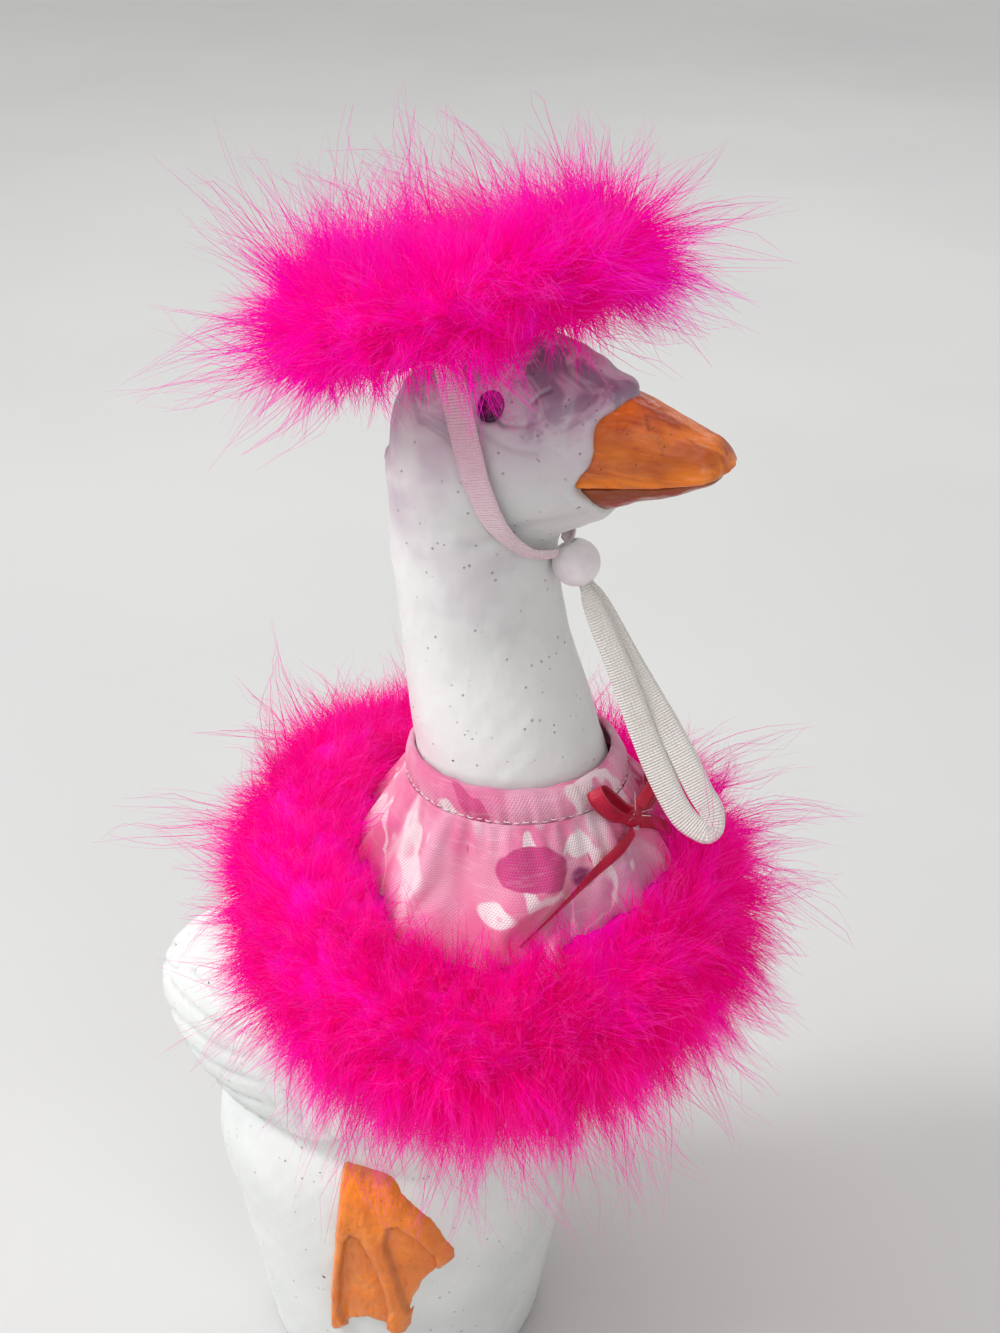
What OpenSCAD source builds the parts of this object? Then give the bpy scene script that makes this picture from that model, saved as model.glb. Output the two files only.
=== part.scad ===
// Small painted cement porch goose in a marabou-trimmed hat and cape.
// The goose faces +X and stands on z = 0, its right side is towards -Y. Millimetres.

/* [Casting] */
// Length of the foot of the pedestal, along the goose
base_len = 72; // [68:1:76]
// Width of the foot of the pedestal
base_wid = 72; // [68:1:76]
// Depth of the body at its deepest ring
body_deep = 100; // [97:1:102]
// Width of the body at its widest ring
body_wide = 90; // [86:1:92]
// Diameter of the neck where it meets the jaw
neck_d = 38; // [36:0.5:38.5]
// Depth of the head from crown to jaw
head_deep = 47; // [45:0.5:47.5]
// Width of the head across the cheeks
head_wide = 40; // [38:0.5:40.5]
// Width of the bill where the paint starts
bill_wide = 25.2; // [24:0.2:26]
// Diameter of the painted eye
eye_d = 6.2; // [5:0.2:7]
// How far the feet stand out from the pedestal
foot_relief = 1.8; // [1:0.2:2.5]
// Diameter of the steel rod inside the neck
rod_d = 5; // [3:0.5:6]

/* [Hat] */
// Radius of the stiffened cloth base
hat_base_r = 33; // [31:0.5:35]
// Thickness of the base
hat_base_t = 2.5; // [2:0.1:3]
// Radius of the ring that the boa string makes
hat_ring_r = 31; // [29:0.5:32]
// Diameter of the dense part of the hat's boa
hat_boa_d = 28; // [24:1:30]
// How far the front of the hat is tipped up, in degrees
hat_tilt = 16; // [14:1:18]
// Radius of the cloth crown inside the boa
crown_r = 17.5; // [14:0.5:18]

/* [Elastic] */
// Width of the flat elastic
elastic_w = 6.5; // [5:0.5:7]
// Thickness of the flat elastic
elastic_t = 1; // [0.8:0.1:1.2]
// Diameter of the cord stop bead
bead_d = 10.8; // [10:0.2:12]
// Diameter of the hole through the bead
bead_bore = 4.4; // [4.2:0.1:5]

/* [Cape] */
// Thickness of the cape's cloth as modelled
cloth_t = 1.2; // [0.8:0.1:1.4]
// Radius of the ring that the cape's boa makes
cape_ring_r = 52; // [50:0.5:54]
// Diameter of the dense part of the cape's boa
cape_boa_d = 34; // [30:1:36]
// Width of the satin ribbon in the casing and the tails, where its edges curl
ribbon_w = 3.2; // [3:0.1:3.4]
// Width of the satin ribbon in the bow's right loop, where it lies flat
bow_w = 4.4; // [4:0.1:4.6]
// Thickness of the ribbon as modelled
ribbon_t = 0.5; // [0.3:0.1:0.6]
// Diameter of the boas' strings
string_d = 3; // [2:0.5:4]
// Stitches along the casing
stitch_count = 44; // [30:2:60]

/* [Hidden] */

clear = 0.4;        // between cloth and casting
seam = 0.1;         // between pieces that are sewn together
sides = 40;         // points around the casting's rings
body_power = 2.5;   // how square the body's rings are, where 2 is an ellipse
ring_step = 5;      // spacing of the casting's rings

// Rings of the casting. Upright lofts: [z, centre x, half length, half width].
pedestal = [[0, 1, base_len / 2, base_wid / 2],
            [8, 1, base_len / 2 + 1.5, base_wid / 2 + 1],
            [30, 1, base_len / 2 + 5, base_wid / 2 + 4],
            [50, 0.5, base_len / 2 + 8.5, base_wid / 2 + 6.5],
            [66, -1, base_len / 2 + 10.5, base_wid / 2 + 8],
            [78, -1, base_len / 2 + 8.5, base_wid / 2 + 5],
            [90, -1, base_len / 2 + 1, base_wid / 2 - 3]];
neck = [[128, 32, 29, 28], [140, 35, 29.5, 28.5], [150, 37.5, 28, 26.5], [165, 37.5, 25, 24.3], [182, 34, 22.8, 22],
        [203, 29, 21, 20.6], [220, 25.5, neck_d / 2, neck_d / 2],
        [240, 23.5, neck_d / 2, neck_d / 2 - 0.5], [256, 23, neck_d / 2, neck_d / 2 - 1]];
// Lying lofts: [x, centre z, half depth, half width].
hb = body_deep / 2;
wb = body_wide / 2;
body = [[-70, 91, 0.19 * hb, 0.144 * wb], [-60, 95, 0.28 * hb, 0.378 * wb],
        [-45, 100, 0.46 * hb, 0.644 * wb], [-25, 105, 0.7 * hb, 0.889 * wb],
        [0, 108, 0.92 * hb, wb], [20, 113, hb, wb], [40, 120, 0.86 * hb, 0.889 * wb],
        [55, 122, 0.64 * hb, 0.667 * wb], [64, 122, 0.36 * hb, 0.378 * wb],
        [67, 122, 0.12 * hb, 0.133 * wb]];
hh = head_deep / 2;
wh = head_wide / 2;
head = [[5, 262, 0.255 * hh, 0.25 * wh], [8, 261.5, 0.51 * hh, 0.5 * wh],
        [14, 263, 0.809 * hh, 0.8 * wh], [26, 264.5, hh, wh], [38, 265.5, 0.98 * hh, wh],
        [50, 266, 0.83 * hh, 0.825 * wh], [57, 266, 0.66 * hh, 0.665 * wh]];
bill_x = head[len(head) - 1][0];
bw = bill_wide / 2;
bill = [[bill_x, 265.3, 13.8, bw], [64, 265.8, 11.2, 0.92 * bw], [70, 265.5, 9, 0.833 * bw],
        [76, 265.5, 6.6, 0.73 * bw], [80, 265.5, 5, 0.62 * bw],
        [82, 265.3, 3, 0.42 * bw], [82.6, 265.2, 1, 0.18 * bw]];
mouth = [bill_x, 0, 260.4];  // the mouth line starts here
mouth_slope = 9;             // and rises at this angle
eye = [35.7, 17.4, 277.4];   // centre of an eye on the cheek
rod_x = 27;
rod_top = 255;
rod_recess = 2;

// The webbed foot's outline on the side of the pedestal: [x, z].
foot_outline = [[5.4, 84], [16, 84], [21, 75], [28, 67], [32.5, 56], [32.3, 52.5], [30, 50],
                [26, 45.5], [23.2, 38], [21, 28], [19.5, 24.5], [17.5, 24.2], [14, 27],
                [10.6, 28.5], [6.5, 26.5], [2.5, 21.5], [0.3, 20.5], [-1, 23], [0.4, 36],
                [3.6, 55], [5.4, 68]];

// The hat's own frame: its centre on the boa ring's plane.
hat_at = [22, 0, 295];
hat_drop = 7;       // from the ring's plane down to the underside of the base
crown_h = 7;

// The elastic. Each strap runs from the hat's underside, round the cheek, to the bead.
bead_at = [48.5, 0, 237];
loop_end = [83, 0, 172];
strap_route = [[28, 22.5, 289.1], [30.5, 22.3, 278.5], [32.8, 21.9, 268], [34.8, 20.9, 259.5],
               [37.4, 17.7, 250.2], [40.9, 12.6, 243.5], [43.6, 7.4, 241],
               [44.9, 4, 240.2]];
strap_face = [[0, 1, 0], [0, 1, 0.1], [0, 1, 0.1], [0, 1, -0.15],
              [0, 0.8, -0.6], [0.1, 0.5, -0.85], [0.2, 0.3, -0.95], [0.2, 0.3, -0.95]];
strap_width = [1, 1, 1, 1, 1, 0.85, 0.6, 0.45];   // shares of the elastic's width
// The tail loop's two strands as one solid: [distance from the bead's centre, width, thickness].
loop_rings = [[-3, 2.6, 2], [5.4, 2.6, 2], [9, 6, 2.2], [25, 6.8, 2.1], [40, 9.5, 1.7],
              [52, 12.8, 1.3], [64, 13, 1.3], [70, 10, 1.3], [73.6, 5, 1.2]];
loop_face = [0.37, -0.8, 0.47];   // which way the flat of the loop faces

// The cape, from hem to neck: [z, centre x, half length, half width], before it droops.
neck_z = 188;
casing_z = 180.8;
hem_z = 148;
hem_droop = 5.6;    // how far the hem sags at 50 mm to a side, doubled on the right
cape = [[hem_z, 29, 50, 48], [157, 32, 43, 42], [166, 35, 36, 36], [174, 35.5, 31, 30.5],
        [casing_z, 34.5, 26.2, 25.4]];
casing_out = [[casing_z, 34.5, 26.2, 25.4], [184.5, 34.1, 26, 25.2], [188.4, 33.3, 24.6, 24]];
casing_in = [[casing_z, 34.3, 24, 23.3], [184.5, 33.8, 23.6, 23], [188.4, 33.3, 23.2, 22.7]];
channel_z = [182.6, 186];         // the drawstring's place in the casing
channel_r = 24.65;
slit_w = 5;
cape_sides = 48;

cape_way = [-0.16, 0, 0.98712];   // the cape lifts off this way, along the leaning neck
cape_travel = 12;

// The cape boa's ring: front a little lower, right side hanging lower than the left.
ring_at = [27, 0, 146];
ring_pitch = 3.6;
ring_roll = 7.2;
ring_sag = 8;
boa_gap = 0.6;

// The bow, tied at the front of the casing.
knot_at = [65.5, -4.4, 178.2];
knot_r = 1.9;
bow_right = [[66.4, -7.6, 179.2], [65, -11.4, 181.3], [62.8, -14, 184.4], [60.8, -14.4, 186.9],
             [59.5, -13, 188], [60, -11.3, 187.2], [61.8, -9.9, 184.9], [64, -8.3, 181.9],
             [65.4, -7.1, 180.4]];
bow_left = [[66.2, -2.1, 179.3], [67.4, 3, 182.4], [66.8, 9, 185], [63.8, 13, 183.6],
            [63.4, 12.4, 179.4], [66, 6, 178], [66.2, -1.7, 177.9]];
tail_right = [[66.4, -5.6, 174.8], [65.8, -11.4, 173.3], [62.8, -19.8, 170.8],
              [58.6, -27.8, 165.7], [51.6, -35.9, 157.4]];
tail_left = [[66.7, -2.2, 175.7], [68.6, 1.8, 173.6], [70.6, 8, 168.6], [71, 15.2, 163]];

// ---- Functions ----

// The slope at point k of column c in a table, and a smooth curve through its points.
function table_slope(t, k, c) =
    let (a = max(k - 1, 0), b = min(k + 1, len(t) - 1)) (t[b][c] - t[a][c]) / (t[b][0] - t[a][0]);
function span_of(t, s, k = 0) = k >= len(t) - 2 || s <= t[k + 1][0] ? k : span_of(t, s, k + 1);
function smooth(t, s, c) =
    let (k = span_of(t, s), h = t[k + 1][0] - t[k][0], u = (s - t[k][0]) / h)
    (2 * u ^ 3 - 3 * u ^ 2 + 1) * t[k][c] + (u ^ 3 - 2 * u ^ 2 + u) * h * table_slope(t, k, c)
    + (3 * u ^ 2 - 2 * u ^ 3) * t[k + 1][c] + (u ^ 3 - u ^ 2) * h * table_slope(t, k + 1, c);

// A superellipse's point at angle q.
function power(v, n) = sign(v) * pow(abs(v), 2 / n);
function oval(a, b, q, n) = [a * power(cos(q), n), b * power(sin(q), n)];

// Evenly spaced values from the first to the last ring of a table.
function steps(t, step) =
    let (a = t[0][0], b = t[len(t) - 1][0], n = ceil((b - a) / step)) [for (i = [0:n]) a + (b - a) * i / n];

function upright(t, g, n, step = ring_step, m = sides) =
    [for (z = steps(t, step)) [for (j = [0:m - 1])
        let (p = oval(smooth(t, z, 2) + g, smooth(t, z, 3) + g, 360 * j / m, n))
        [smooth(t, z, 1) + p[0], p[1], z]]];
function lying(t, g, n, step = ring_step, m = sides) =
    [for (x = steps(t, step)) [for (j = [0:m - 1])
        let (p = oval(smooth(t, x, 3) + g, smooth(t, x, 2) + g, 360 * j / m, n))
        [x, p[0], smooth(t, x, 1) + p[1]]]];

// How far the cape's cloth hangs below its flat ring at height z and side y.
function droop(z, y) = hem_droop * (neck_z - z) / (neck_z - hem_z) * (pow(y / 50, 2) - y / 50);
function hung(p) = [p[0], p[1], p[2] - droop(p[2], p[1])];
function cloth(t, g, step = 4) =
    [for (r = upright(t, g, 2, step, cape_sides)) [for (p = r) hung(p)]];

function unit(v) = v / norm(v);
function tangent(p, i) = unit(p[min(i + 1, len(p) - 1)] - p[max(i - 1, 0)]);
// The four corners of a flat band's section: along the width w, then the thickness t.
function section(p, along, face, w, t) =
    let (across = unit(cross(face, along)), out = cross(along, across))
    [p + across * w / 2 + out * t / 2, p - across * w / 2 + out * t / 2,
     p - across * w / 2 - out * t / 2, p + across * w / 2 - out * t / 2];
function flipped(p) = [for (q = p) [q[0], -q[1], q[2]]];

// The centreline of the cape's boa at angle q.
function boa_point(q) = ring_at + [cape_ring_r * cos(q), cape_ring_r * sin(q),
                                   -ring_pitch * cos(q) + ring_roll * sin(q) - ring_sag * pow(sin(q), 2)];

// ---- Shared shapes ----

// Triangles across a ring of m points, in strips that join points at the same side.
function cap(m) = m == 4 ? [[0, 1, 2], [0, 2, 3]] : concat(
    [for (j = [-m / 4:m / 4 - 2]) [(j + m) % m, (j + 1 + m) % m, m / 2 - j - 1]],
    [for (j = [-m / 4 + 1:m / 4 - 1]) [(j + m) % m, m / 2 - j - 1, m / 2 - j]]);
function turned(faces, add) = [for (f = faces) [f[2] + add, f[1] + add, f[0] + add]];

// A closed solid through a list of rings of m points, where m is 4 or a multiple of 4.
module loft(rings) {
    m = len(rings[0]);
    last = len(rings) - 1;
    polyhedron(
        points = [for (r = rings) each r],
        faces = concat(
            cap(m),
            [for (i = [0:last - 1]) for (j = [0:m - 1])
                let (k = (j + 1) % m) [i * m + j, (i + 1) * m + j, (i + 1) * m + k]],
            [for (i = [0:last - 1]) for (j = [0:m - 1])
                let (k = (j + 1) % m) [i * m + j, (i + 1) * m + k, i * m + k]],
            turned(cap(m), last * m)));
}

// The same, closed on itself as a ring.
module loop_loft(rings) {
    m = len(rings[0]);
    n = len(rings);
    polyhedron(
        points = [for (r = rings) each r],
        faces = concat(
            [for (i = [0:n - 1]) for (j = [0:m - 1])
                let (k = (j + 1) % m, a = i * m, b = ((i + 1) % n) * m) [a + j, b + j, b + k]],
            [for (i = [0:n - 1]) for (j = [0:m - 1])
                let (k = (j + 1) % m, a = i * m, b = ((i + 1) % n) * m) [a + j, b + k, a + k]]));
}

// Sends a shape of many facets through OpenSCAD as one mesh.
module one_mesh() {
    resize([0, 0, 0]) children();
}

// A flat band along a route. face gives the way its flat side looks at each point.
module band(route, face, width, w = elastic_w, t = elastic_t) {
    loft([for (i = [0:len(route) - 1])
        section(route[i], tangent(route, i), face[i], w * width[i], t)]);
}

// A round tube along the cape boa's centreline.
module boa_tube(r, around, turns) {
    loop_loft([for (i = [0:turns - 1])
        let (q = 360 * i / turns, c = boa_point(q), out = [cos(q), sin(q), 0])
        [for (j = [0:around - 1])
            let (s = 360 * j / around) c + r * (out * sin(s) + [0, 0, 1] * cos(s))]]);
}

// The painted goose without its bill, grown by g all round.
module goose_shape(g) {
    loft(upright(pedestal, g, 2.2));
    loft(lying(body, g, body_power));
    loft(upright(neck, g, 2));
    loft(lying(head, g, 2, 3));
}

module bill_shape() {
    loft(lying(bill, 0, 2, 2, 32));
}

// Everything above the mouth line.
module above_mouth() {
    translate(mouth) rotate([0, -mouth_slope, 0]) translate([-20, -30, 0]) cube([60, 60, 30]);
}

module eye_plug(d) {
    translate([eye[0], -eye[1] - 3, eye[2]]) rotate([-90, 0, 0]) cylinder(d = d, h = 5.5, $fn = 24);
}

// The rod stands upright from just inside the base, where its hole is open, to the head.
module rod_shape(extra, bottom = rod_recess) {
    translate([rod_x, 0, bottom]) cylinder(d = rod_d + extra, h = rod_top - bottom, $fn = 24);
}

module in_hat_frame() {
    translate(hat_at) rotate([0, -hat_tilt, 0]) children();
}

module mirrored() {
    mirror([0, 1, 0]) children();
}

// ---- Casting ----

module goose_casting() {
    color("ghostwhite") one_mesh() difference() {
        goose_shape(0);
        eye_plug(eye_d + seam);
        mirrored() eye_plug(eye_d + seam);
        rod_shape(2 * seam, -1);
    }
}

module upper_bill() {
    color("darkorange") one_mesh() intersection() {
        bill_shape();
        above_mouth();
    }
}

module lower_bill() {
    color("orangered") one_mesh() difference() {
        bill_shape();
        above_mouth();
    }
}

module right_eye() {
    color("indigo") one_mesh() intersection() {
        eye_plug(eye_d);
        loft(lying(head, 0.5, 2, 3));
    }
}

module left_eye() {
    color("indigo") one_mesh() mirrored() intersection() {
        eye_plug(eye_d);
        loft(lying(head, 0.5, 2, 3));
    }
}

module foot() {
    difference() {
        intersection() {
            rotate([90, 0, 0]) linear_extrude(60) polygon(foot_outline);
            loft(upright(pedestal, foot_relief, 2.2));
        }
        loft(upright(pedestal, 0, 2.2));
        loft(lying(body, 0, body_power));
    }
}

module right_foot() {
    color("darkorange") one_mesh() foot();
}

module left_foot() {
    color("darkorange") one_mesh() mirrored() foot();
}

module neck_rod() {
    color("dimgray") rod_shape(0);
}

// ---- Hat ----

module hat_base() {
    color("pink") in_hat_frame() translate([0, 0, -hat_drop]) cylinder(r = hat_base_r, h = hat_base_t, $fn = 96);
}

module crown_shape(g) {
    translate([0, 0, hat_base_t - hat_drop]) rotate_extrude($fn = 96)
        polygon(concat([[0, 0]], [for (q = [0:10:90]) [(crown_r + g) * cos(q), (crown_h + g) * sin(q)]]));
}

module hat_crown() {
    color("pink") in_hat_frame() crown_shape(0);
}

module hat_string(d) {
    rotate_extrude($fn = 96) translate([hat_ring_r, 1]) circle(d = d, $fn = 16);
}

module hat_boa_core() {
    color("deeppink") in_hat_frame() hat_string(string_d);
}

module hat_boa() {
    color("deeppink") in_hat_frame() difference() {
        rotate_extrude($fn = 96) translate([hat_ring_r, 1]) circle(d = hat_boa_d, $fn = 32);
        translate([0, 0, -hat_drop - 20]) cylinder(r = hat_base_r + seam, h = 20 + hat_base_t + seam, $fn = 96);
        crown_shape(seam);
        hat_string(string_d);
    }
}

module strap_stitches() {
    color("white") for (side = [-1, 1], along = [-2, 0, 2])
        in_hat_frame() translate([6.8 + along, side * 24.2, -hat_drop - 0.6])
            rotate([90, 0, 0]) cylinder(d = 0.7, h = 1.6, center = true, $fn = 16);
}

// ---- Elastic ----

module strap() {
    band(strap_route, strap_face, strap_width);
}

module chin_elastic_left() {
    color("mistyrose") one_mesh() strap();
}

module chin_elastic_right() {
    color("mistyrose") one_mesh() band(flipped(strap_route), flipped(strap_face), strap_width);
}

module on_loop() {
    way = loop_end - bead_at;
    translate(bead_at) rotate([0, 90 + atan2(-way[2], way[0]), 0]) children();
}

module cord_bead() {
    color("whitesmoke") difference() {
        translate(bead_at) sphere(d = bead_d, $fn = 64);
        on_loop() translate([0, 0, -bead_d]) cylinder(d = bead_bore, h = 2 * bead_d, $fn = 32);
    }
}

module elastic_tail_loop() {
    way = unit(loop_end - bead_at);
    color("ivory") one_mesh() loft([for (r = loop_rings) section(bead_at + way * r[0], way, loop_face, r[1], r[2])]);
}

// ---- Cape ----

// Cloth between an outer and an inner table of rings, with the same number of steps in each.
module skin(outer, inner, step) {
    out = cloth(outer, 0, step);
    in = cloth(inner, 0, step);
    last = len(out) - 1;
    loop_loft([for (j = [0:cape_sides - 1])
        concat([for (i = [last:-1:0]) out[i][j]], [for (i = [0:last]) in[i][j]])]);
}

module cape_panel() {
    color("lightpink") one_mesh()
        skin(cape, [for (r = cape) [r[0], r[1], r[2] - cloth_t, r[3] - cloth_t]], 4);
}

// The flat tube inside the casing that the drawstring fills, grown by g.
module channel(g) {
    function ring(z, r) = [z, smooth(casing_out, z, 1), r, r - 0.7];
    z0 = channel_z[0] - g;
    z1 = channel_z[1] + g;
    skin([ring(z0, channel_r + ribbon_t + g), ring(z1, channel_r + ribbon_t + g)],
         [ring(z0, channel_r - g), ring(z1, channel_r - g)], 2);
}

module cape_casing() {
    color("pink") one_mesh() difference() {
        skin(casing_out, casing_in, 2);
        channel(seam);
        // The slit at the front that the ribbon's two ends come out of.
        translate([56, knot_at[1] - slit_w / 2, channel_z[0] + 0.4])
            cube([10, slit_w, channel_z[1] - channel_z[0] - 0.8]);
    }
}

module casing_stitches() {
    z = 182;
    color("white") for (i = [0:stitch_count - 1])
        let (q = 360 * i / stitch_count,
             p = hung([smooth(casing_out, z, 1) + (smooth(casing_out, z, 2) + 0.3) * cos(q),
                       (smooth(casing_out, z, 3) + 0.3) * sin(q), z]))
        translate(p) rotate([90, 0, q]) cylinder(d = 0.5, h = 2, center = true, $fn = 16);
}

module drawstring_ribbon() {
    color("crimson") one_mesh() channel(0);
}

module ribbon_knot() {
    color("crimson") translate(knot_at) sphere(r = knot_r, $fn = 48);
}

// A narrow band whose flat side looks away from the cape's middle.
module ribbon(route) {
    band(route, [for (p = route) [p[0] - 36, p[1], 6]], [for (p = route) 1], ribbon_w, ribbon_t);
}

// A loop of the bow. Its width runs along the given direction.
module bow(route, across, wide) {
    band(route, [for (i = [0:len(route) - 1]) cross(tangent(route, i), across)],
         [for (p = route) 1], wide, ribbon_t);
}

module ribbon_loop_right() {
    color("crimson") one_mesh() bow(bow_right, [0.77, 0.12, 0.62], bow_w);
}

module ribbon_loop_left() {
    color("crimson") one_mesh() bow(bow_left, [0.92, 0.22, -0.31], ribbon_w);
}

module ribbon_tail_right() {
    color("crimson") one_mesh() ribbon(tail_right);
}

module ribbon_tail_left() {
    color("crimson") one_mesh() ribbon(tail_left);
}

module cape_boa_core() {
    color("deeppink") one_mesh() boa_tube(string_d / 2, 8, 48);
}

module cape_boa() {
    color("deeppink") one_mesh() difference() {
        boa_tube(cape_boa_d / 2, 20, 60);
        boa_tube(string_d / 2 + seam, 8, 48);
        loft(cloth(cape, seam));
        // The casting and its places relative to the cape as the cape is lifted.
        for (lift = [0:cape_travel / 4:cape_travel])
            translate(-lift * cape_way) goose_shape(clear);
        // The two ends of the boa meet at the back.
        translate([ring_at[0] - cape_ring_r - cape_boa_d, -boa_gap / 2, ring_at[2] - cape_boa_d])
            cube([2 * cape_boa_d, boa_gap, 2 * cape_boa_d]);
    }
}

goose_casting();
upper_bill();
lower_bill();
right_eye();
left_eye();
right_foot();
left_foot();
neck_rod();
hat_base();
hat_crown();
hat_boa_core();
hat_boa();
strap_stitches();
chin_elastic_right();
chin_elastic_left();
cord_bead();
elastic_tail_loop();
cape_panel();
cape_casing();
casing_stitches();
drawstring_ribbon();
ribbon_knot();
ribbon_loop_right();
ribbon_loop_left();
ribbon_tail_right();
ribbon_tail_left();
cape_boa_core();
cape_boa();
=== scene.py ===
"""A small painted cement porch goose in a marabou hat and cape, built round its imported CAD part.

The goose faces +X and its right side is towards -Y. Points in the tables are in millimetres, as in
part.scad, and MM turns them into metres when a mesh is made.
"""

import math

import bmesh
import bpy
import numpy as np
from mathutils import Matrix, Vector


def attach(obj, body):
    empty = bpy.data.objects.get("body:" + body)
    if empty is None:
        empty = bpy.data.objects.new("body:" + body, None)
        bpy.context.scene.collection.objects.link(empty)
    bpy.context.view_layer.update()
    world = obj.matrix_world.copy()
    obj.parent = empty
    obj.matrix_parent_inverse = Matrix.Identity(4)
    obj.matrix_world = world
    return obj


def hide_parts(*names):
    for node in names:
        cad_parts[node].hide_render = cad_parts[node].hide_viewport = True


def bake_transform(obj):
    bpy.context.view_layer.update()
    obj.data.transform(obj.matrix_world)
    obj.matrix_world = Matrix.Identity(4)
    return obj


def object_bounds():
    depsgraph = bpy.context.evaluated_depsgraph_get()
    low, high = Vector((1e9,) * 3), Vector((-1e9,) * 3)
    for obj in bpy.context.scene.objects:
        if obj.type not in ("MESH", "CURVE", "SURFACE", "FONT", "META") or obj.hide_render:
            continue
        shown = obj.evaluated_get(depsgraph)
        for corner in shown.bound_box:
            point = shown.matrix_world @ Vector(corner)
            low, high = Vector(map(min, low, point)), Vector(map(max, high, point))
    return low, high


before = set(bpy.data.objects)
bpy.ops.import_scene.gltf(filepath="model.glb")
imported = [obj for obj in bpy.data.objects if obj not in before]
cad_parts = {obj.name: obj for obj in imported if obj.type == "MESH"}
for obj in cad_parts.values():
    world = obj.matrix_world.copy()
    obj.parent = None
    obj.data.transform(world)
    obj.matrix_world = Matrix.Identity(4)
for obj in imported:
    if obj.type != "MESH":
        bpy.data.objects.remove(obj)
CAD_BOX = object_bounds()
SCENE = bpy.context.scene
MM = 0.001

# ---------------------------------------------------------------- camera, light and stage

camera = bpy.data.objects.new("camera", bpy.data.cameras.new("camera"))
SCENE.collection.objects.link(camera)
camera.data.sensor_width = 36
camera.data.lens = 54.01
camera.data.clip_start = 0.01
camera.location = (0.202615, -0.370331, 0.423981)
camera.rotation_euler = (math.radians(62), 0, math.radians(25))
SCENE.camera = camera
SCENE.view_settings.view_transform = "Standard"
GOOSE_MIDDLE = (0.01, 0, 0.17)


def area_light(name, at, size, watts):
    light = bpy.data.objects.new(name, bpy.data.lights.new(name, "AREA"))
    SCENE.collection.objects.link(light)
    light.data.shape = "DISK"
    light.data.size = size
    light.data.energy = watts
    light.location = at
    light.rotation_euler = (Vector(GOOSE_MIDDLE) - Vector(at)).to_track_quat("-Z", "Y").to_euler()


area_light("key", (-0.85, -0.65, 1.15), 0.5, 13)
area_light("fill", (1.2, -0.9, 1.0), 0.8, 3.6)
area_light("back", (-0.3, 1.2, 1.0), 1.0, 3)
# A broad even light from above keeps the floor pale far behind the goose.
ceiling = bpy.data.objects.new("ceiling", bpy.data.lights.new("ceiling", "SUN"))
SCENE.collection.objects.link(ceiling)
ceiling.data.energy = 1.25
ceiling.data.angle = math.radians(80)
ceiling.rotation_euler = (math.radians(12), math.radians(-18), 0)
world = bpy.data.worlds.new("soft room")
SCENE.world = world
world.use_nodes = True
world.node_tree.nodes["Background"].inputs["Color"].default_value = (0.85, 0.85, 0.84, 1)
world.node_tree.nodes["Background"].inputs["Strength"].default_value = 0.47

# ---------------------------------------------------------------- tables shared with part.scad

# Upright rings: [z, centre x, half length, half width].
PEDESTAL = [(0, 1, 36, 36), (8, 1, 37.5, 37), (30, 1, 41, 40), (50, 0.5, 44.5, 42.5),
            (66, -1, 46.5, 44), (78, -1, 44.5, 41), (90, -1, 37, 33)]
NECK = [(128, 32, 29, 28), (140, 35, 29.5, 28.5), (150, 37.5, 28, 26.5), (165, 37.5, 25, 24.3),
        (182, 34, 22.8, 22), (203, 29, 21, 20.6), (220, 25.5, 19, 19), (240, 23.5, 19, 18.5),
        (256, 23, 19, 18)]
CAPE = [(148, 29, 50, 48), (157, 32, 43, 42), (166, 35, 36, 36), (174, 35.5, 31, 30.5),
        (180.8, 34.5, 26.2, 25.4)]
CASING = [(180.8, 34.5, 26.2, 25.4), (184.5, 34.1, 26, 25.2), (188.4, 33.3, 24.6, 24)]
# Lying rings: [x, centre z, half depth, half width].
BODY = [(-70, 91, 9.5, 6.5), (-60, 95, 14, 17), (-45, 100, 23, 29), (-25, 105, 35, 40),
        (0, 108, 46, 45), (20, 113, 50, 45), (40, 120, 43, 40), (55, 122, 32, 30),
        (64, 122, 18, 17), (67, 122, 6, 6)]
HEAD = [(5, 262, 6, 5), (8, 261.5, 12, 10), (14, 263, 19, 16), (26, 264.5, 23.5, 20),
        (38, 265.5, 23, 20), (50, 266, 19.5, 16.5), (57, 266, 15.4, 13.5), (62, 265.9, 12.9, 12.5)]
BILL = [(50, 265.3, 15.5, 13.2), (57, 265.3, 13.8, 12.6), (64, 265.8, 11.2, 11.6),
        (70, 265.5, 9, 10.5), (76, 265.5, 6.6, 9.2), (80, 265.5, 5, 7.8),
        (82, 265.3, 3, 5.3), (82.6, 265.2, 1, 2.3)]
MOUTH = (57, 260.4)
MOUTH_SLOPE = math.radians(9)
EYE = (35.7, 17.4, 277.4)
EYE_R = 3.1
FOOT = [(5.4, 84), (16, 84), (21, 75), (28, 67), (32.5, 56), (32.3, 52.5), (30, 50), (26, 45.5),
        (23.2, 38), (21, 28), (19.5, 24.5), (17.5, 24.2), (14, 27), (10.6, 28.5), (6.5, 26.5),
        (2.5, 21.5), (0.3, 20.5), (-1, 23), (0.4, 36), (3.6, 55), (5.4, 68)]
FOOT_RELIEF = 1.8
HAT_AT = (22, 0, 295)
HAT_TILT = math.radians(16)
HAT_BASE_R, HAT_BASE_T, HAT_DROP = 33, 2.5, 7
HAT_RING_R, HAT_BOA_R = 31, 14
CROWN_R, CROWN_H = 17.5, 7
BEAD_AT = (48.5, 0, 237)
BEAD_R, BEAD_BORE = 5.4, 2.2
LOOP_END = (83, 0, 172)
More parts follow.
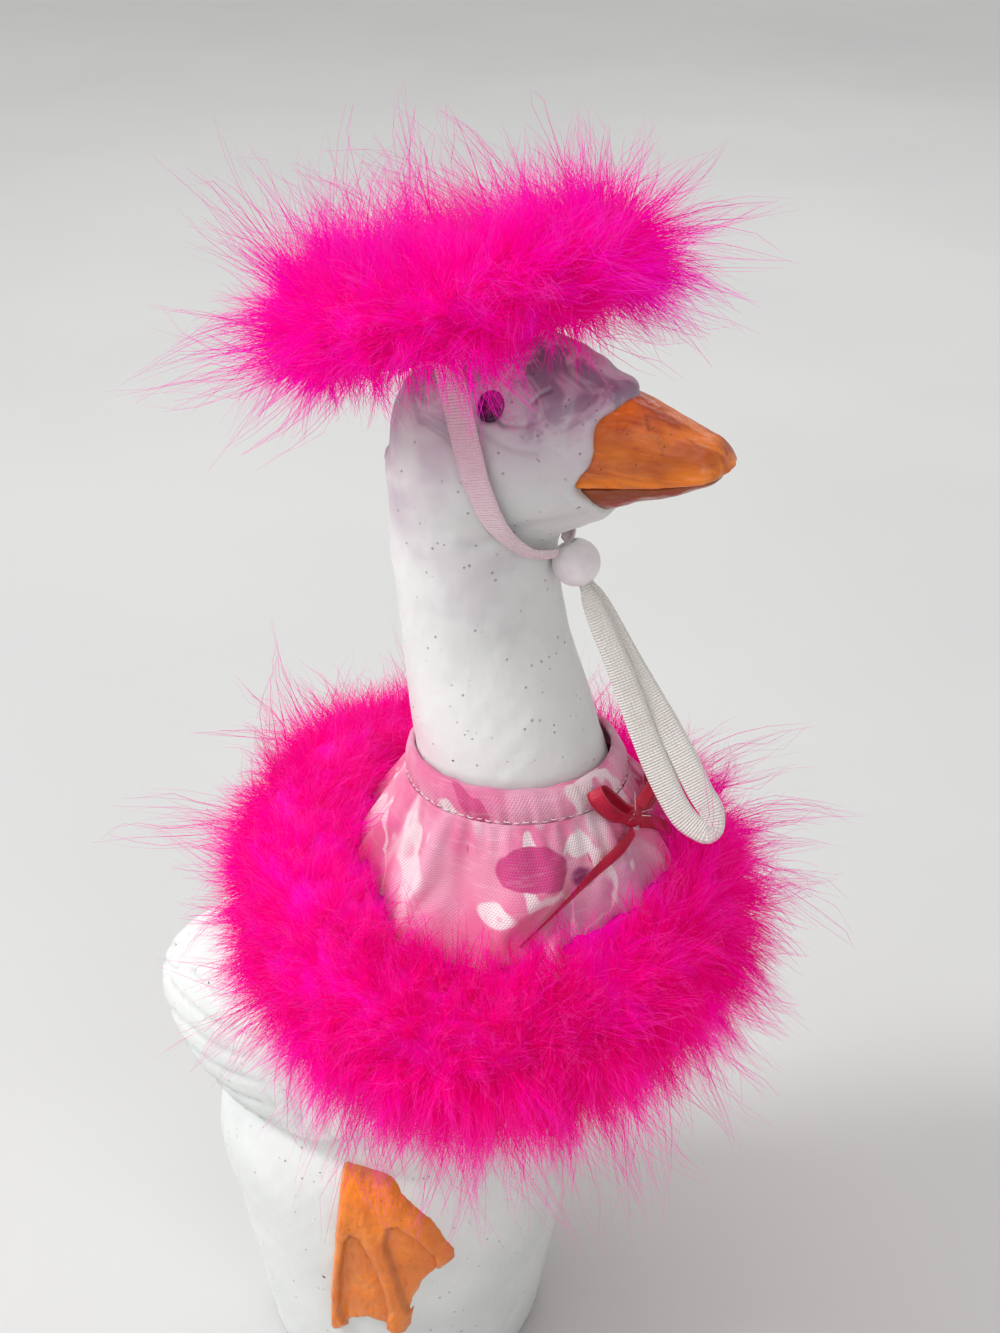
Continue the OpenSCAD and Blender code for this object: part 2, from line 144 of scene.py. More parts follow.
STRAP = [(28, 22.5, 289.1), (30.5, 22.3, 278.5), (32.8, 21.9, 268), (34.8, 20.9, 259.5),
         (37.4, 17.7, 250.2), (40.9, 12.6, 243.5), (43.6, 7.4, 241), (44.9, 4, 240.2)]
STRAP_FACE = [(0, 1, 0), (0, 1, 0.1), (0, 1, 0.1), (0, 1, -0.15), (0, 0.8, -0.6),
              (0.1, 0.5, -0.85), (0.2, 0.3, -0.95), (0.2, 0.3, -0.95)]
ELASTIC_W = 6.5
RING_AT = (27, 0, 146)
RING_R, BOA_R = 52, 17
NECK_Z, HEM_Z, HEM_DROOP = 188, 148, 5.6
KNOT_AT = (65.5, -4.4, 178.2)
BOW_RIGHT = [(66.4, -7.6, 179.2), (65, -11.4, 181.3), (62.8, -14, 184.4), (60.8, -14.4, 186.9),
             (59.5, -13, 188), (60, -11.3, 187.2), (61.8, -9.9, 184.9), (64, -8.3, 181.9),
             (65.4, -7.1, 180.4)]
BOW_LEFT = [(66.2, -2.1, 179.3), (67.4, 3, 182.4), (66.8, 9, 185), (63.8, 13, 183.6),
            (63.4, 12.4, 179.4), (66, 6, 178), (66.2, -1.7, 177.9)]
TAIL_RIGHT = [(66.4, -5.6, 174.8), (65.8, -11.4, 173.3), (62.8, -19.8, 170.8),
              (58.6, -27.8, 165.7), (51.6, -35.9, 157.4)]
TAIL_LEFT = [(66.7, -2.2, 175.7), (68.6, 1.8, 173.6), (70.6, 8, 168.6), (71, 15.2, 163)]
RIBBON_W, BOW_W = 3.2, 4.4

# ---------------------------------------------------------------- curves and fields


def along(table, at, column):
    """A smooth curve through one column of a table, read at the places in the first column."""
    t = np.array(table, float)
    s, v = t[:, 0], t[:, column]
    slope = np.empty(len(s))
    slope[1:-1] = (v[2:] - v[:-2]) / (s[2:] - s[:-2])
    slope[0] = (v[1] - v[0]) / (s[1] - s[0])
    slope[-1] = (v[-1] - v[-2]) / (s[-1] - s[-2])
    at = np.clip(at, s[0], s[-1])
    k = np.clip(np.searchsorted(s, at, side="right") - 1, 0, len(s) - 2)
    h = s[k + 1] - s[k]
    u = (at - s[k]) / h
    return ((2 * u**3 - 3 * u**2 + 1) * v[k] + (u**3 - 2 * u**2 + u) * h * slope[k]
            + (3 * u**2 - 2 * u**3) * v[k + 1] + (u**3 - u**2) * h * slope[k + 1])


def smooth_min(a, b, k):
    h = np.maximum(k - np.abs(a - b), 0) / k
    return np.minimum(a, b) - h * h * k / 4


def smooth_max(a, b, k):
    return -smooth_min(-a, -b, k)


def ring_field(u, v, half_u, half_v, power):
    """Distance along the ray from a superellipse's centre to its edge, negative inside."""
    reach = np.hypot(u, v)
    share = (np.abs(u / half_u) ** power + np.abs(v / half_v) ** power) ** (1 / power)
    return reach * (1 - 1 / np.maximum(share, 0.02))


def upright_field(table, power, x, y, z, rounding=1.0):
    cx, a, b = (along(table, z, i) for i in (1, 2, 3))
    side = ring_field(x - cx, y, a, b, power)
    return smooth_max(side, np.maximum(table[0][0] - z, z - table[-1][0]), rounding)


def lying_field(table, power, x, y, z, rounding=1.0):
    cz, a, b = (along(table, x, i) for i in (1, 2, 3))
    side = ring_field(z - cz, y, a, b, power)
    return smooth_max(side, np.maximum(table[0][0] - x, x - table[-1][0]), rounding)


def polygon_distance(points, u, v):
    """Distance from a closed outline in a plane, negative inside."""
    p = np.array(points, float)
    best = np.full(np.shape(u), 1e9)
    inside = np.zeros(np.shape(u), bool)
    for a, b in zip(p, np.roll(p, -1, 0)):
        d = b - a
        t = np.clip(((u - a[0]) * d[0] + (v - a[1]) * d[1]) / (d @ d), 0, 1)
        best = np.minimum(best, np.hypot(u - a[0] - t * d[0], v - a[1] - t * d[1]))
        crosses = (a[1] > v) != (b[1] > v)
        if d[1] != 0:
            inside ^= crosses & (u < a[0] + (v - a[1]) * d[0] / d[1])
    return np.where(inside, -best, best)


def line_distance(points, p):
    """Distance of each point from an open line, and how far along it the nearest place is, 0 to 1."""
    line = np.array(points, float)
    best = np.full(len(p), 1e9)
    where = np.zeros(len(p))
    for i in range(len(line) - 1):
        d = line[i + 1] - line[i]
        t = np.clip(((p - line[i]) @ d) / (d @ d), 0, 1)
        away = np.linalg.norm(p - line[i] - t[:, None] * d, axis=1)
        nearer = away < best
        best[nearer] = away[nearer]
        where[nearer] = ((i + t) / (len(line) - 1))[nearer]
    return best, where


def step_up(x, low, high):
    t = np.clip((x - low) / (high - low), 0, 1)
    return t * t * (3 - 2 * t)


def lumps(p, scale, seed, octaves=3):
    """Smooth noise from a few crossed waves, about -1 to 1, at points p."""
    rng = np.random.default_rng(seed)
    total = np.zeros(len(p))
    size = 1.0
    for _ in range(octaves):
        for _ in range(5):
            way = rng.normal(size=3)
            way *= rng.uniform(0.6, 1.4) * 2 * math.pi / (scale * size * np.linalg.norm(way))
            total += size * np.sin(p @ way + rng.uniform(0, 2 * math.pi)) / 5**0.5
        size /= 2
    return total / 1.3


def circle(count):
    """Angles of count points once round."""
    return np.linspace(0, 2 * math.pi, count, endpoint=False)


def bell(x, middle, spread):
    """1 at the middle, falling smoothly to 0 away from it."""
    return np.exp(-(((x - middle) / spread) ** 2))


GRADIENT_STEP = 0.05


def gradient(field, p):
    e = GRADIENT_STEP
    g = np.stack([(field(*(p + d).T) - field(*(p - d).T)) / (2 * e) for d in np.eye(3) * e], 1)
    return g / np.maximum(np.linalg.norm(g, axis=1), 1e-9)[:, None], np.linalg.norm(g, axis=1)


def onto(field, p, rounds=3):
    """Moves points onto the field's zero surface."""
    for _ in range(rounds):
        way, steep = gradient(field, p)
        p = p - way * np.clip(field(*p.T) / np.maximum(steep, 0.2), -1, 1)[:, None]
    return p


def surface_net(field, low, high, step):
    """Points and four-sided faces on the field's zero surface, one point to a crossed cell."""
    axes = [np.arange(a, b + step, step) for a, b in zip(low, high)]
    f = field(*np.meshgrid(*axes, indexing="ij"))
    cells = tuple(n - 1 for n in f.shape)
    total = np.zeros(cells + (3,))
    count = np.zeros(cells)
    crossings = []
    for axis in range(3):
        a, b = (np.take(f, np.arange(*r), axis) for r in ((0, f.shape[axis] - 1), (1, f.shape[axis])))
        cross = (a < 0) != (b < 0)
        t = np.where(cross, a / np.where(cross, a - b, 1), 0)
        others = [i for i in range(3) if i != axis]
        for du in (0, 1):
            for dv in (0, 1):
                part = [slice(None)] * 3
                part[others[0]] = slice(du, du + cells[others[0]])
                part[others[1]] = slice(dv, dv + cells[others[1]])
                hit = cross[tuple(part)]
                count += hit
                total[..., axis] += t[tuple(part)] * hit
                total[..., others[0]] += du * hit
                total[..., others[1]] += dv * hit
        crossings.append((axis, others, cross, a < 0))
    used = count > 0
    index = np.full(cells, -1)
    index[used] = np.arange(used.sum())
    corner = np.stack(np.nonzero(used), 1)
    points = (corner + total[used] / count[used][:, None]) * step + np.array([x[0] for x in axes])
    faces = []
    for axis, others, cross, first_inside in crossings:
        part = [slice(None)] * 3
        for o in others:
            part[o] = slice(1, -1)
        at = np.stack(np.nonzero(cross[tuple(part)]), 1)
        at[:, others[0]] += 1
        at[:, others[1]] += 1
        out = first_inside[tuple(at.T)]
        if axis == 1:
            out = ~out
        ring = []
        for du, dv in ((0, 0), (1, 0), (1, 1), (0, 1)):
            cell = at.copy()
            cell[:, others[0]] -= 1 - du
            cell[:, others[1]] -= 1 - dv
            ring.append(index[tuple(cell.T)])
        quad = np.stack(ring, 1)
        quad[~out] = quad[~out][:, ::-1]
        faces.append(quad)
    return points, np.concatenate(faces)


# ---------------------------------------------------------------- making meshes


def mesh_of(name, points, faces):
    """A mesh from points in millimetres and an array of faces with the same number of corners."""
    me = bpy.data.meshes.new(name)
    faces = np.asarray(faces)
    count, corners = faces.shape
    me.vertices.add(len(points))
    me.vertices.foreach_set("co", (np.asarray(points, float) * MM).ravel())
    me.loops.add(count * corners)
    me.loops.foreach_set("vertex_index", faces.ravel())
    me.polygons.add(count)
    me.polygons.foreach_set("loop_start", np.arange(0, count * corners, corners))
    me.update(calc_edges=True)
    me.polygons.foreach_set("use_smooth", np.full(count, True))
    return me


def place(name, mesh, body, look, replaces=()):
    ob = bpy.data.objects.new(name, mesh)
    SCENE.collection.objects.link(ob)
    mesh.materials.clear()
    mesh.materials.append(look)
    if replaces:
        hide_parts(*replaces)
    if body:
        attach(ob, body)
    return ob


def point_value(mesh, name, values):
    """Keeps one number for each vertex, which a material reads by its name."""
    mesh.attributes.new(name, "FLOAT", "POINT").data.foreach_set("value", np.asarray(values, np.float32))


def corner_uv(mesh, uv, faces):
    """uv holds a pair in millimetres for each vertex. They are kept in metres."""
    layer = mesh.uv_layers.new(name="cloth")
    layer.data.foreach_set("uv", (np.asarray(uv)[np.asarray(faces).ravel()] * MM).ravel())


def grid_faces(rows, columns, wrap=False):
    """Faces of a grid of points. wrap joins the last column to the first."""
    i, j = np.meshgrid(np.arange(rows - 1), np.arange(columns if wrap else columns - 1), indexing="ij")
    k = (j + 1) % columns
    return np.stack([i * columns + j, i * columns + k, (i + 1) * columns + k, (i + 1) * columns + j],
                    -1).reshape(-1, 4)


def curve_points(route, count):
    """Evenly spaced points on a smooth curve through the route, and the share of the route at each."""
    r = np.array(route, float)
    key = np.arange(len(r))
    fine = np.linspace(0, len(r) - 1, 60 * len(r))
    table = np.column_stack([key, r])
    p = np.stack([along(table, fine, c + 1) for c in range(r.shape[1])], 1)
    length = np.concatenate([[0], np.cumsum(np.linalg.norm(np.diff(p[:, :3], axis=0), axis=1))])
    at = np.interp(np.linspace(0, length[-1], count), length, fine)
    return np.stack([along(table, at, c + 1) for c in range(r.shape[1])], 1), at / (len(r) - 1), length[-1]


def units(v):
    return v / np.maximum(np.linalg.norm(v, axis=-1), 1e-9)[..., None]


def band_mesh(name, centre, face, width, thick, bulge=0.0, closed=False, across_n=9):
    """A flat band with rounded edges along centre points. face points out of its flat side. bulge rolls
    its edges back. u of its UV runs along it and v across it, in millimetres."""
    way = units(np.gradient(centre, axis=0))
    if closed:
        way = units(np.roll(centre, -1, 0) - np.roll(centre, 1, 0))
    face = np.broadcast_to(np.asarray(face, float), centre.shape)
    side = units(np.cross(face, way))
    out = units(np.cross(way, side))
    s = np.linspace(-1, 1, across_n)
    profile = np.concatenate([np.stack([s, np.sqrt(np.maximum(1 - np.abs(s) ** 6, 0.02))], 1),
                              np.stack([s[::-1], -np.sqrt(np.maximum(1 - np.abs(s[::-1]) ** 6, 0.02))], 1)])
    u, v = profile.T
    width = np.broadcast_to(width, len(centre))[:, None]
    thick = np.broadcast_to(thick, len(centre))[:, None]
    bulge = np.broadcast_to(bulge, len(centre))[:, None]
    lift = v * thick / 2 - bulge * (u**2 - 0.35)
    p = centre[:, None] + side[:, None] * (u * width / 2)[..., None] + out[:, None] * lift[..., None]
    rows, columns = p.shape[:2]
    faces = grid_faces(rows, columns, wrap=True)[:, ::-1]
    points = p.reshape(-1, 3)
    if closed:
        last = (rows - 1) * columns
        j = np.arange(columns)
        k = (j + 1) % columns
        faces = np.concatenate([faces, np.stack([k, last + k, last + j, j], 1)[:, ::-1]])
    else:
        half = columns // 2
        j = np.arange(half - 1)
        cap = np.stack([j, j + 1, columns - 2 - j, columns - 1 - j], 1)
        faces = np.concatenate([faces, cap, cap[:, ::-1] + (rows - 1) * columns])
    me = mesh_of(name, points, faces)
    run = np.concatenate([[0], np.cumsum(np.linalg.norm(np.diff(centre, axis=0), axis=1))])
    uv = np.stack(np.broadcast_arrays(run[:, None], u * width / 2), -1)
    corner_uv(me, uv.reshape(-1, 2), faces)
    return me


# ---------------------------------------------------------------- materials


class Look:
    """A material, with short ways to add nodes. A socket given as an input is linked to it."""

    def __init__(self, name):
        self.material = bpy.data.materials.new(name)
        self.material.use_nodes = True
        self.tree = self.material.node_tree
        self.shader = self.tree.nodes["Principled BSDF"]
        self.coords = self.tree.nodes.new("ShaderNodeTexCoord")
        self.here, self.uv = self.coords.outputs["Object"], self.coords.outputs["UV"]

    def node(self, kind, inputs=None, **settings):
        made = self.tree.nodes.new("ShaderNode" + kind)
        for key, value in settings.items():
            setattr(made, key, value)
        for key, value in (inputs or {}).items():
            self.put(made.inputs[key], value)
        return made

    def put(self, socket, value):
        if isinstance(value, bpy.types.NodeSocket):
            self.tree.links.new(value, socket)
        elif isinstance(value, (tuple, list)) and len(value) == 3 and socket.type == "RGBA":
            socket.default_value = (*value, 1)
        else:
            socket.default_value = value

    def set(self, **inputs):
        """Sets the shader's sockets. A name's underscores stand for spaces."""
        for key, value in inputs.items():
            self.put(self.shader.inputs[key.replace("_", " ")], value)

    def where(self, scale=(1, 1, 1), turn=(0, 0, 0), source="Object"):
        return self.node("Mapping", {"Vector": self.coords.outputs[source], "Scale": scale,
                                     "Rotation": turn}).outputs["Vector"]

    def noise(self, scale, detail=3, rough=0.5, vector=None, distortion=0.0):
        return self.node("TexNoise", {"Vector": vector or self.here, "Scale": scale,
                                      "Detail": detail, "Roughness": rough,
                                      "Distortion": distortion}).outputs["Fac"]

    def cells(self, scale, vector=None):
        return self.node("TexVoronoi", {"Vector": vector or self.here,
                                        "Scale": scale}).outputs["Distance"]

    def maths(self, operation, a, b=0.0, clamp=False):
        return self.node("Math", {0: a, 1: b}, operation=operation, use_clamp=clamp).outputs[0]

    def times(self, a, b, clamp=False):
        return self.maths("MULTIPLY", a, b, clamp)

    def plus(self, a, b):
        return self.maths("ADD", a, b)

    def minus(self, a, b):
        return self.maths("SUBTRACT", a, b)

    def axes(self, vector):
        """The x, y and z of a vector, each as a socket."""
        return self.node("SeparateXYZ", {"Vector": vector}).outputs

    def waves(self, coord, pitch):
        """A sine that repeats every pitch metres."""
        return self.maths("SINE", self.times(coord, 2 * math.pi / pitch))

    def ramp(self, value, low, high, to_low=0.0, to_high=1.0):
        return self.node("MapRange", {"Value": value, "From Min": low, "From Max": high, "To Min": to_low,
                                      "To Max": to_high}, interpolation_type="SMOOTHSTEP").outputs["Result"]

    def mix(self, share, a, b):
        made = self.node("Mix", data_type="RGBA")
        self.put(made.inputs["Factor"], share)
        self.put(made.inputs[6], a)
        self.put(made.inputs[7], b)
        return made.outputs[2]

    def colours(self, value, *stops):
        made = self.node("ValToRGB", {"Fac": value})
        ramp = made.color_ramp
        while len(ramp.elements) < len(stops):
            ramp.elements.new(0.5)
        for element, (at, colour) in zip(ramp.elements, stops):
            element.position = at
            element.color = (*colour, 1)
        return made.outputs["Color"]

    def bump(self, height, distance, strength=1.0, normal=None):
        inputs = {"Height": height, "Distance": distance, "Strength": strength}
        if normal is not None:
            inputs["Normal"] = normal
        return self.node("Bump", inputs).outputs["Normal"]

    def value_of(self, name):
        return self.node("Attribute", attribute_name=name).outputs["Fac"]

    def height_above_floor(self):
        return self.node("SeparateXYZ", {"Vector": self.here}).outputs["Z"]


def painted_cement():
    look = Look("satin white paint over cement")
    z = look.height_above_floor()
    cloud = look.noise(22, 4, 0.55)
    fine = look.noise(420, 3, 0.6)
    strokes = look.noise(260, 2, 0.6, look.where((1, 1, 0.16), (0.15, 0.1, 0)))
    white = look.mix(look.ramp(cloud, 0.38, 0.72), (0.80, 0.815, 0.80), (0.66, 0.69, 0.68))
    white = look.mix(look.ramp(fine, 0.5, 0.8, 0, 0.25), white, (0.70, 0.70, 0.67))
    # Painted pink light and shade from the hat on the head, most under the hat, and lower at the back.
    behind = look.ramp(look.axes(look.here)[0], 0.034, 0.012, 0.0, 0.021)
    hat_light_height = look.plus(z, behind)
    hat_light_and_shade = look.times(look.ramp(hat_light_height, 0.252, 0.286), look.ramp(look.noise(38, 3, 0.6), 0.25, 0.58), True)
    white = look.mix(look.times(hat_light_and_shade, 0.95), white, (0.50, 0.33, 0.46))
    # Dark purple smudges, thickest near the top, which also stand in as painted shade under the hat.
    murk = look.times(look.ramp(z, 0.256, 0.29),
                      look.ramp(look.noise(75, 4, 0.65, distortion=0.8), 0.47, 0.60), clamp=True)
    white = look.mix(look.times(murk, 0.85), white, (0.17, 0.10, 0.19))
    # Soft lilac-grey patches of painted shade on the neck, below the head.
    grey = look.times(look.ramp(z, 0.205, 0.243), look.ramp(z, 0.275, 0.25), clamp=True)
    grey = look.times(grey, look.ramp(look.noise(48, 3, 0.55), 0.46, 0.68))
    white = look.mix(look.times(grey, 0.5), white, (0.48, 0.42, 0.48))
    # Dirt in the wrinkles and round the eye, with painted shade in the grooves of the eye, lid and jaw.
    worn = look.value_of("worn")
    white = look.mix(look.times(worn, 0.75), white, (0.17, 0.13, 0.19))
    # Pinholes where air was trapped in the casting, painted dark as the shade inside them.
    shaken = look.node("TexNoise", {"Vector": look.here, "Scale": 700.0}).outputs["Color"]
    shaken = look.node("VectorMath", {0: shaken, "Scale": 0.0011}, operation="SCALE").outputs[0]
    shaken = look.node("VectorMath", {0: look.where((1, 1, 1.3)), 1: shaken}, operation="ADD").outputs[0]
    hole_size = look.node("TexVoronoi", {"Vector": shaken, "Scale": 150.0}, feature="F1")
    some = look.ramp(look.noise(30, 2, 0.5), 0.38, 0.55)
    radius = look.times(look.maths("POWER", hole_size.outputs["Color"], 4.0), 0.22)
    radius = look.times(radius, some)
    depth = look.minus(radius, hole_size.outputs["Distance"])
    hole = look.ramp(depth, 0.0, 0.03)
    pits = look.ramp(look.minus(0.16, look.cells(430)), 0, 0.06)
    pits = look.times(pits, look.ramp(look.noise(110, 2, 0.6), 0.48, 0.62))
    white = look.mix(hole, white, (0.02, 0.018, 0.02))
    white = look.mix(look.times(pits, 0.6), white, (0.16, 0.16, 0.17))
    height = look.plus(look.times(fine, 0.3), look.times(strokes, 0.5))
    height = look.minus(height, look.times(look.plus(hole, pits), 1.2))
    normal = look.bump(height, 0.00035, 0.75)
    normal = look.bump(look.noise(55, 3, 0.5), 0.0012, 0.5, normal)
    look.set(Base_Color=white, Roughness=look.ramp(cloud, 0.3, 0.7, 0.36, 0.5), Normal=normal,
             Coat_Weight=0.15, Coat_Roughness=0.3, Subsurface_Weight=0.0)
    return look.material


def orange_paint(name, deep=0.0, grain=(0.22, 1, 1.2), uneven=1.0):
    look = Look(name)
    strokes = look.noise(160, 3, 0.6, look.where(grain, (0.1, 0.5, 0)), distortion=0.4)
    patches = look.noise(60, 3, 0.55)
    streaks = look.noise(420, 3, 0.6, look.where((0.12, 1, 1.0), (0.1, 0.5, 0)))
    orange = look.mix(look.ramp(strokes, 0.36, 0.64, 0, uneven), (0.95, 0.235, 0.006), (0.50, 0.07, 0.003))
    orange = look.mix(look.ramp(patches, 0.45, 0.75, 0, 0.55), orange, (0.90, 0.27, 0.02))
    orange = look.mix(look.ramp(streaks, 0.54, 0.72, 0, 0.45 * uneven), orange, (0.40, 0.045, 0.004))
    # deep darkens the paint as painted shade; the lower bill uses it, under the upper bill's overhang.
    orange = look.mix(look.times(deep, 0.9), orange, (0.23, 0.042, 0.001))
    # Scratches, with painted shade under the face's rim and along the feet's webs and outline.
    worn = look.value_of("worn")
    orange = look.mix(look.times(worn, 0.8), orange, (0.10, 0.035, 0.02))
    glossy = look.noise(300, 2, 0.6)
    # Small pits, painted darker as the shade inside them.
    dots = look.ramp(look.minus(0.07, look.cells(330)), 0, 0.04)
    orange = look.mix(look.times(dots, 0.5), orange, (0.2, 0.05, 0.01))
    height = look.minus(look.plus(strokes, look.times(glossy, 0.4)), dots)
    look.set(Base_Color=orange, Roughness=look.ramp(glossy, 0.3, 0.7, 0.30, 0.46),
             Normal=look.bump(height, 0.0016, 1.0), Coat_Weight=0.3, Coat_Roughness=0.16)
    return look.material


def eye_paint():
    look = Look("glossy dark purple paint")
    shade = look.noise(500, 3, 0.6)
    look.set(Base_Color=look.mix(look.ramp(shade, 0.35, 0.7), (0.045, 0.0, 0.035), (0.15, 0.004, 0.11)),
             Roughness=0.3, Specular_IOR_Level=0.3, Coat_Weight=0.3, Coat_Roughness=0.12,
             Normal=look.bump(shade, 0.0002, 0.3))
    return look.material


PAINTED_GLOW_PINK = (1.0, 0.01, 0.34)


def marabou(name, blue, core=False):
    """Dyed down. blue shifts it from rose to magenta. tip runs from 0 at a barb's root to 1 at its tip, and
    shade differs between plumes."""
    look = Look(name)
    shade = look.value_of("shade")
    if core:
        shade = look.noise(160, 4, 0.7)
    pink = look.colours(shade, (0.0, (0.85, 0.0, 0.28 + blue)), (0.35, (1.0, 0.0, 0.40 + blue)),
                        (0.7, (1.0, 0.0, 0.50 + blue)), (1.0, (0.98, 0.002, 0.60 + blue)))
    tree = look.tree
    output = tree.nodes["Material Output"]
    if core:
        # A weak pink glow, painted light that brightens the dense part.
        look.set(Emission_Color=(*PAINTED_GLOW_PINK, 1), Emission_Strength=0.03)
        look.set(Base_Color=pink, Roughness=0.95, Sheen_Weight=0.3, Sheen_Roughness=0.5,
                 Specular_IOR_Level=0.1, Sheen_Tint=(1.0, 0.1, 0.6, 1),
                 Normal=look.bump(look.noise(900, 3, 0.7), 0.0012, 0.9))
        return look.material
    tip = look.value_of("tip")
    pink = look.mix(look.ramp(tip, 0.45, 1.0, 0, 0.6), pink, (1.0, 0.14, 0.66 + 0.5 * blue))
    fine = look.noise(2500, 2, 0.6)
    pink = look.mix(look.ramp(fine, 0.4, 0.7, 0, 0.2), pink, (0.85, 0.0, 0.42))
    tree.nodes.remove(look.shader)
    front = look.node("BsdfDiffuse", {"Color": pink, "Roughness": 0.6})
    behind = look.node("BsdfTranslucent", {"Color": pink})
    both = look.node("MixShader", {"Fac": 0.5, 1: front.outputs[0], 2: behind.outputs[0]})
    # A weak pink glow, painted light that brightens the down.
    glow = look.node("Emission", {"Color": PAINTED_GLOW_PINK, "Strength": 0.04})
    both = look.node("AddShader", {0: both.outputs[0], 1: glow.outputs[0]})
    tree.links.new(both.outputs[0], output.inputs["Surface"])
    return look.material


THREAD_PITCH = 0.00048


def weave_height(look, uv, pitch):
    """A plain weave of that thread spacing in metres. Returns its height and how far the threads gap."""
    x, y, _ = look.axes(uv)
    k = math.pi / pitch
    warp, weft, over = (look.maths("SINE", look.times(coord, k)) for coord in (x, y, look.plus(x, y)))
    warp, weft = look.maths("ABSOLUTE", warp), look.maths("ABSOLUTE", weft)
    height = look.mix(look.ramp(over, -0.4, 0.4), warp, weft)
    gap = look.times(look.ramp(warp, 0.35, 0.0), look.ramp(weft, 0.35, 0.0))
    return height, gap


def blotted(look, cloth, blots):
    """Paints blots on the cloth at places on the object. Each is a middle, half sizes, a colour and how
    soft its edge is, in metres."""
    for middle, sizes, colour, soft in blots:
        off = look.node("VectorMath", {0: look.here, 1: middle}, operation="SUBTRACT")
        off = look.node("VectorMath", {0: off.outputs[0], 1: sizes}, operation="DIVIDE")
        reach = look.node("VectorMath", {0: off.outputs[0]}, operation="LENGTH").outputs["Value"]
        reach = look.plus(reach, look.times(look.noise(150, 1, 0.4), 0.6))
        cloth = look.mix(look.ramp(reach, 1.3 + soft, 1.3 - soft), cloth, colour)
    return cloth


def print_cotton(name, under=(), over=()):
    """Cotton in a plain weave with a generic print of swirls and blots. under and over are lists of blots
    that the swirls cross, and that lie over them."""
    look = Look(name)
    uv = look.uv
    shift = look.node("TexNoise", {"Vector": uv, "Scale": 75.0, "Detail": 2.0}).outputs["Color"]
    shift = look.node("VectorMath", {0: shift, 1: (0.5, 0.5, 0.5)}, operation="SUBTRACT").outputs[0]
    shift = look.node("VectorMath", {0: shift, "Scale": 0.02}, operation="SCALE").outputs[0]
    bent = look.node("VectorMath", {0: uv, 1: shift}, operation="ADD").outputs[0]
    pinks = look.ramp(look.noise(42, 2, 0.5, uv), 0.40, 0.56)
    cloth = look.mix(pinks, (0.90, 0.40, 0.56), (0.84, 0.17, 0.36))
    pale = look.ramp(look.noise(55, 2, 0.5, look.where((1, 1, 1), (0.5, 0, 1), "UV")), 0.57, 0.68)
    cloth = look.mix(look.times(pale, 0.8), cloth, (0.93, 0.78, 0.82))
    cloth = blotted(look, cloth, under)
    stroke = look.maths("ABSOLUTE", look.minus(look.cells(44, bent), 0.40))
    thick = look.ramp(look.noise(70, 1, 0.5, uv), 0.38, 0.62, 0.0, 0.075)
    swirl = look.ramp(look.minus(thick, stroke), -0.03, 0.02)
    blot = look.ramp(look.noise(62, 1, 0.4, bent), 0.66, 0.68)
    cloth = look.mix(look.times(blot, 0.85), cloth, (0.66, 0.03, 0.20))
    cloth = look.mix(look.times(swirl, 0.85), cloth, (0.96, 0.90, 0.89))
    cloth = blotted(look, cloth, over)
    height, gap = weave_height(look, uv, THREAD_PITCH)
    slub = look.noise(900, 2, 0.6, look.where((0.1, 1, 1), source="UV"))
    # Painted shade in the gaps between the threads and where a thread dips under another.
    cloth = look.mix(look.times(gap, 0.6), cloth, (0.42, 0.10, 0.20))
    cloth = look.mix(look.ramp(height, 0.2, 1.0, 0.55, 0.0), cloth, (0.50, 0.18, 0.30))
    cloth = look.mix(look.ramp(slub, 0.5, 0.8, 0, 0.15), cloth, (1, 0.9, 0.93))
    normal = look.bump(height, 0.0001, 0.9)
    normal = look.bump(slub, 0.00008, 0.5, normal)
    look.set(Base_Color=cloth, Roughness=0.88, Normal=normal, Sheen_Weight=0.15, Sheen_Roughness=0.5)
    return look.material


def satin_ribbon():
    look = Look("crimson satin ribbon")
    u, v, _ = look.axes(look.uv)
    edge = look.ramp(look.maths("ABSOLUTE", v), 0.00125, 0.00145)
    threads = look.waves(u, 0.00028)
    ribs = look.waves(v, 0.0003)
    shade = look.noise(220, 2, 0.5)
    red = look.mix(look.ramp(shade, 0.35, 0.7), (0.52, 0.002, 0.035), (0.36, 0.001, 0.022))
    red = look.mix(look.times(edge, 0.6), red, (0.30, 0.0, 0.02))
    height = look.plus(look.times(threads, 0.5), look.plus(look.times(ribs, 0.3), look.times(edge, 1.5)))
    look.set(Base_Color=red, Roughness=0.32, Anisotropic=0.6, Normal=look.bump(height, 0.00006, 0.6),
             Sheen_Weight=0.1, Sheen_Tint=(1, 0.2, 0.35, 1), Specular_IOR_Level=0.45)
    return look.material


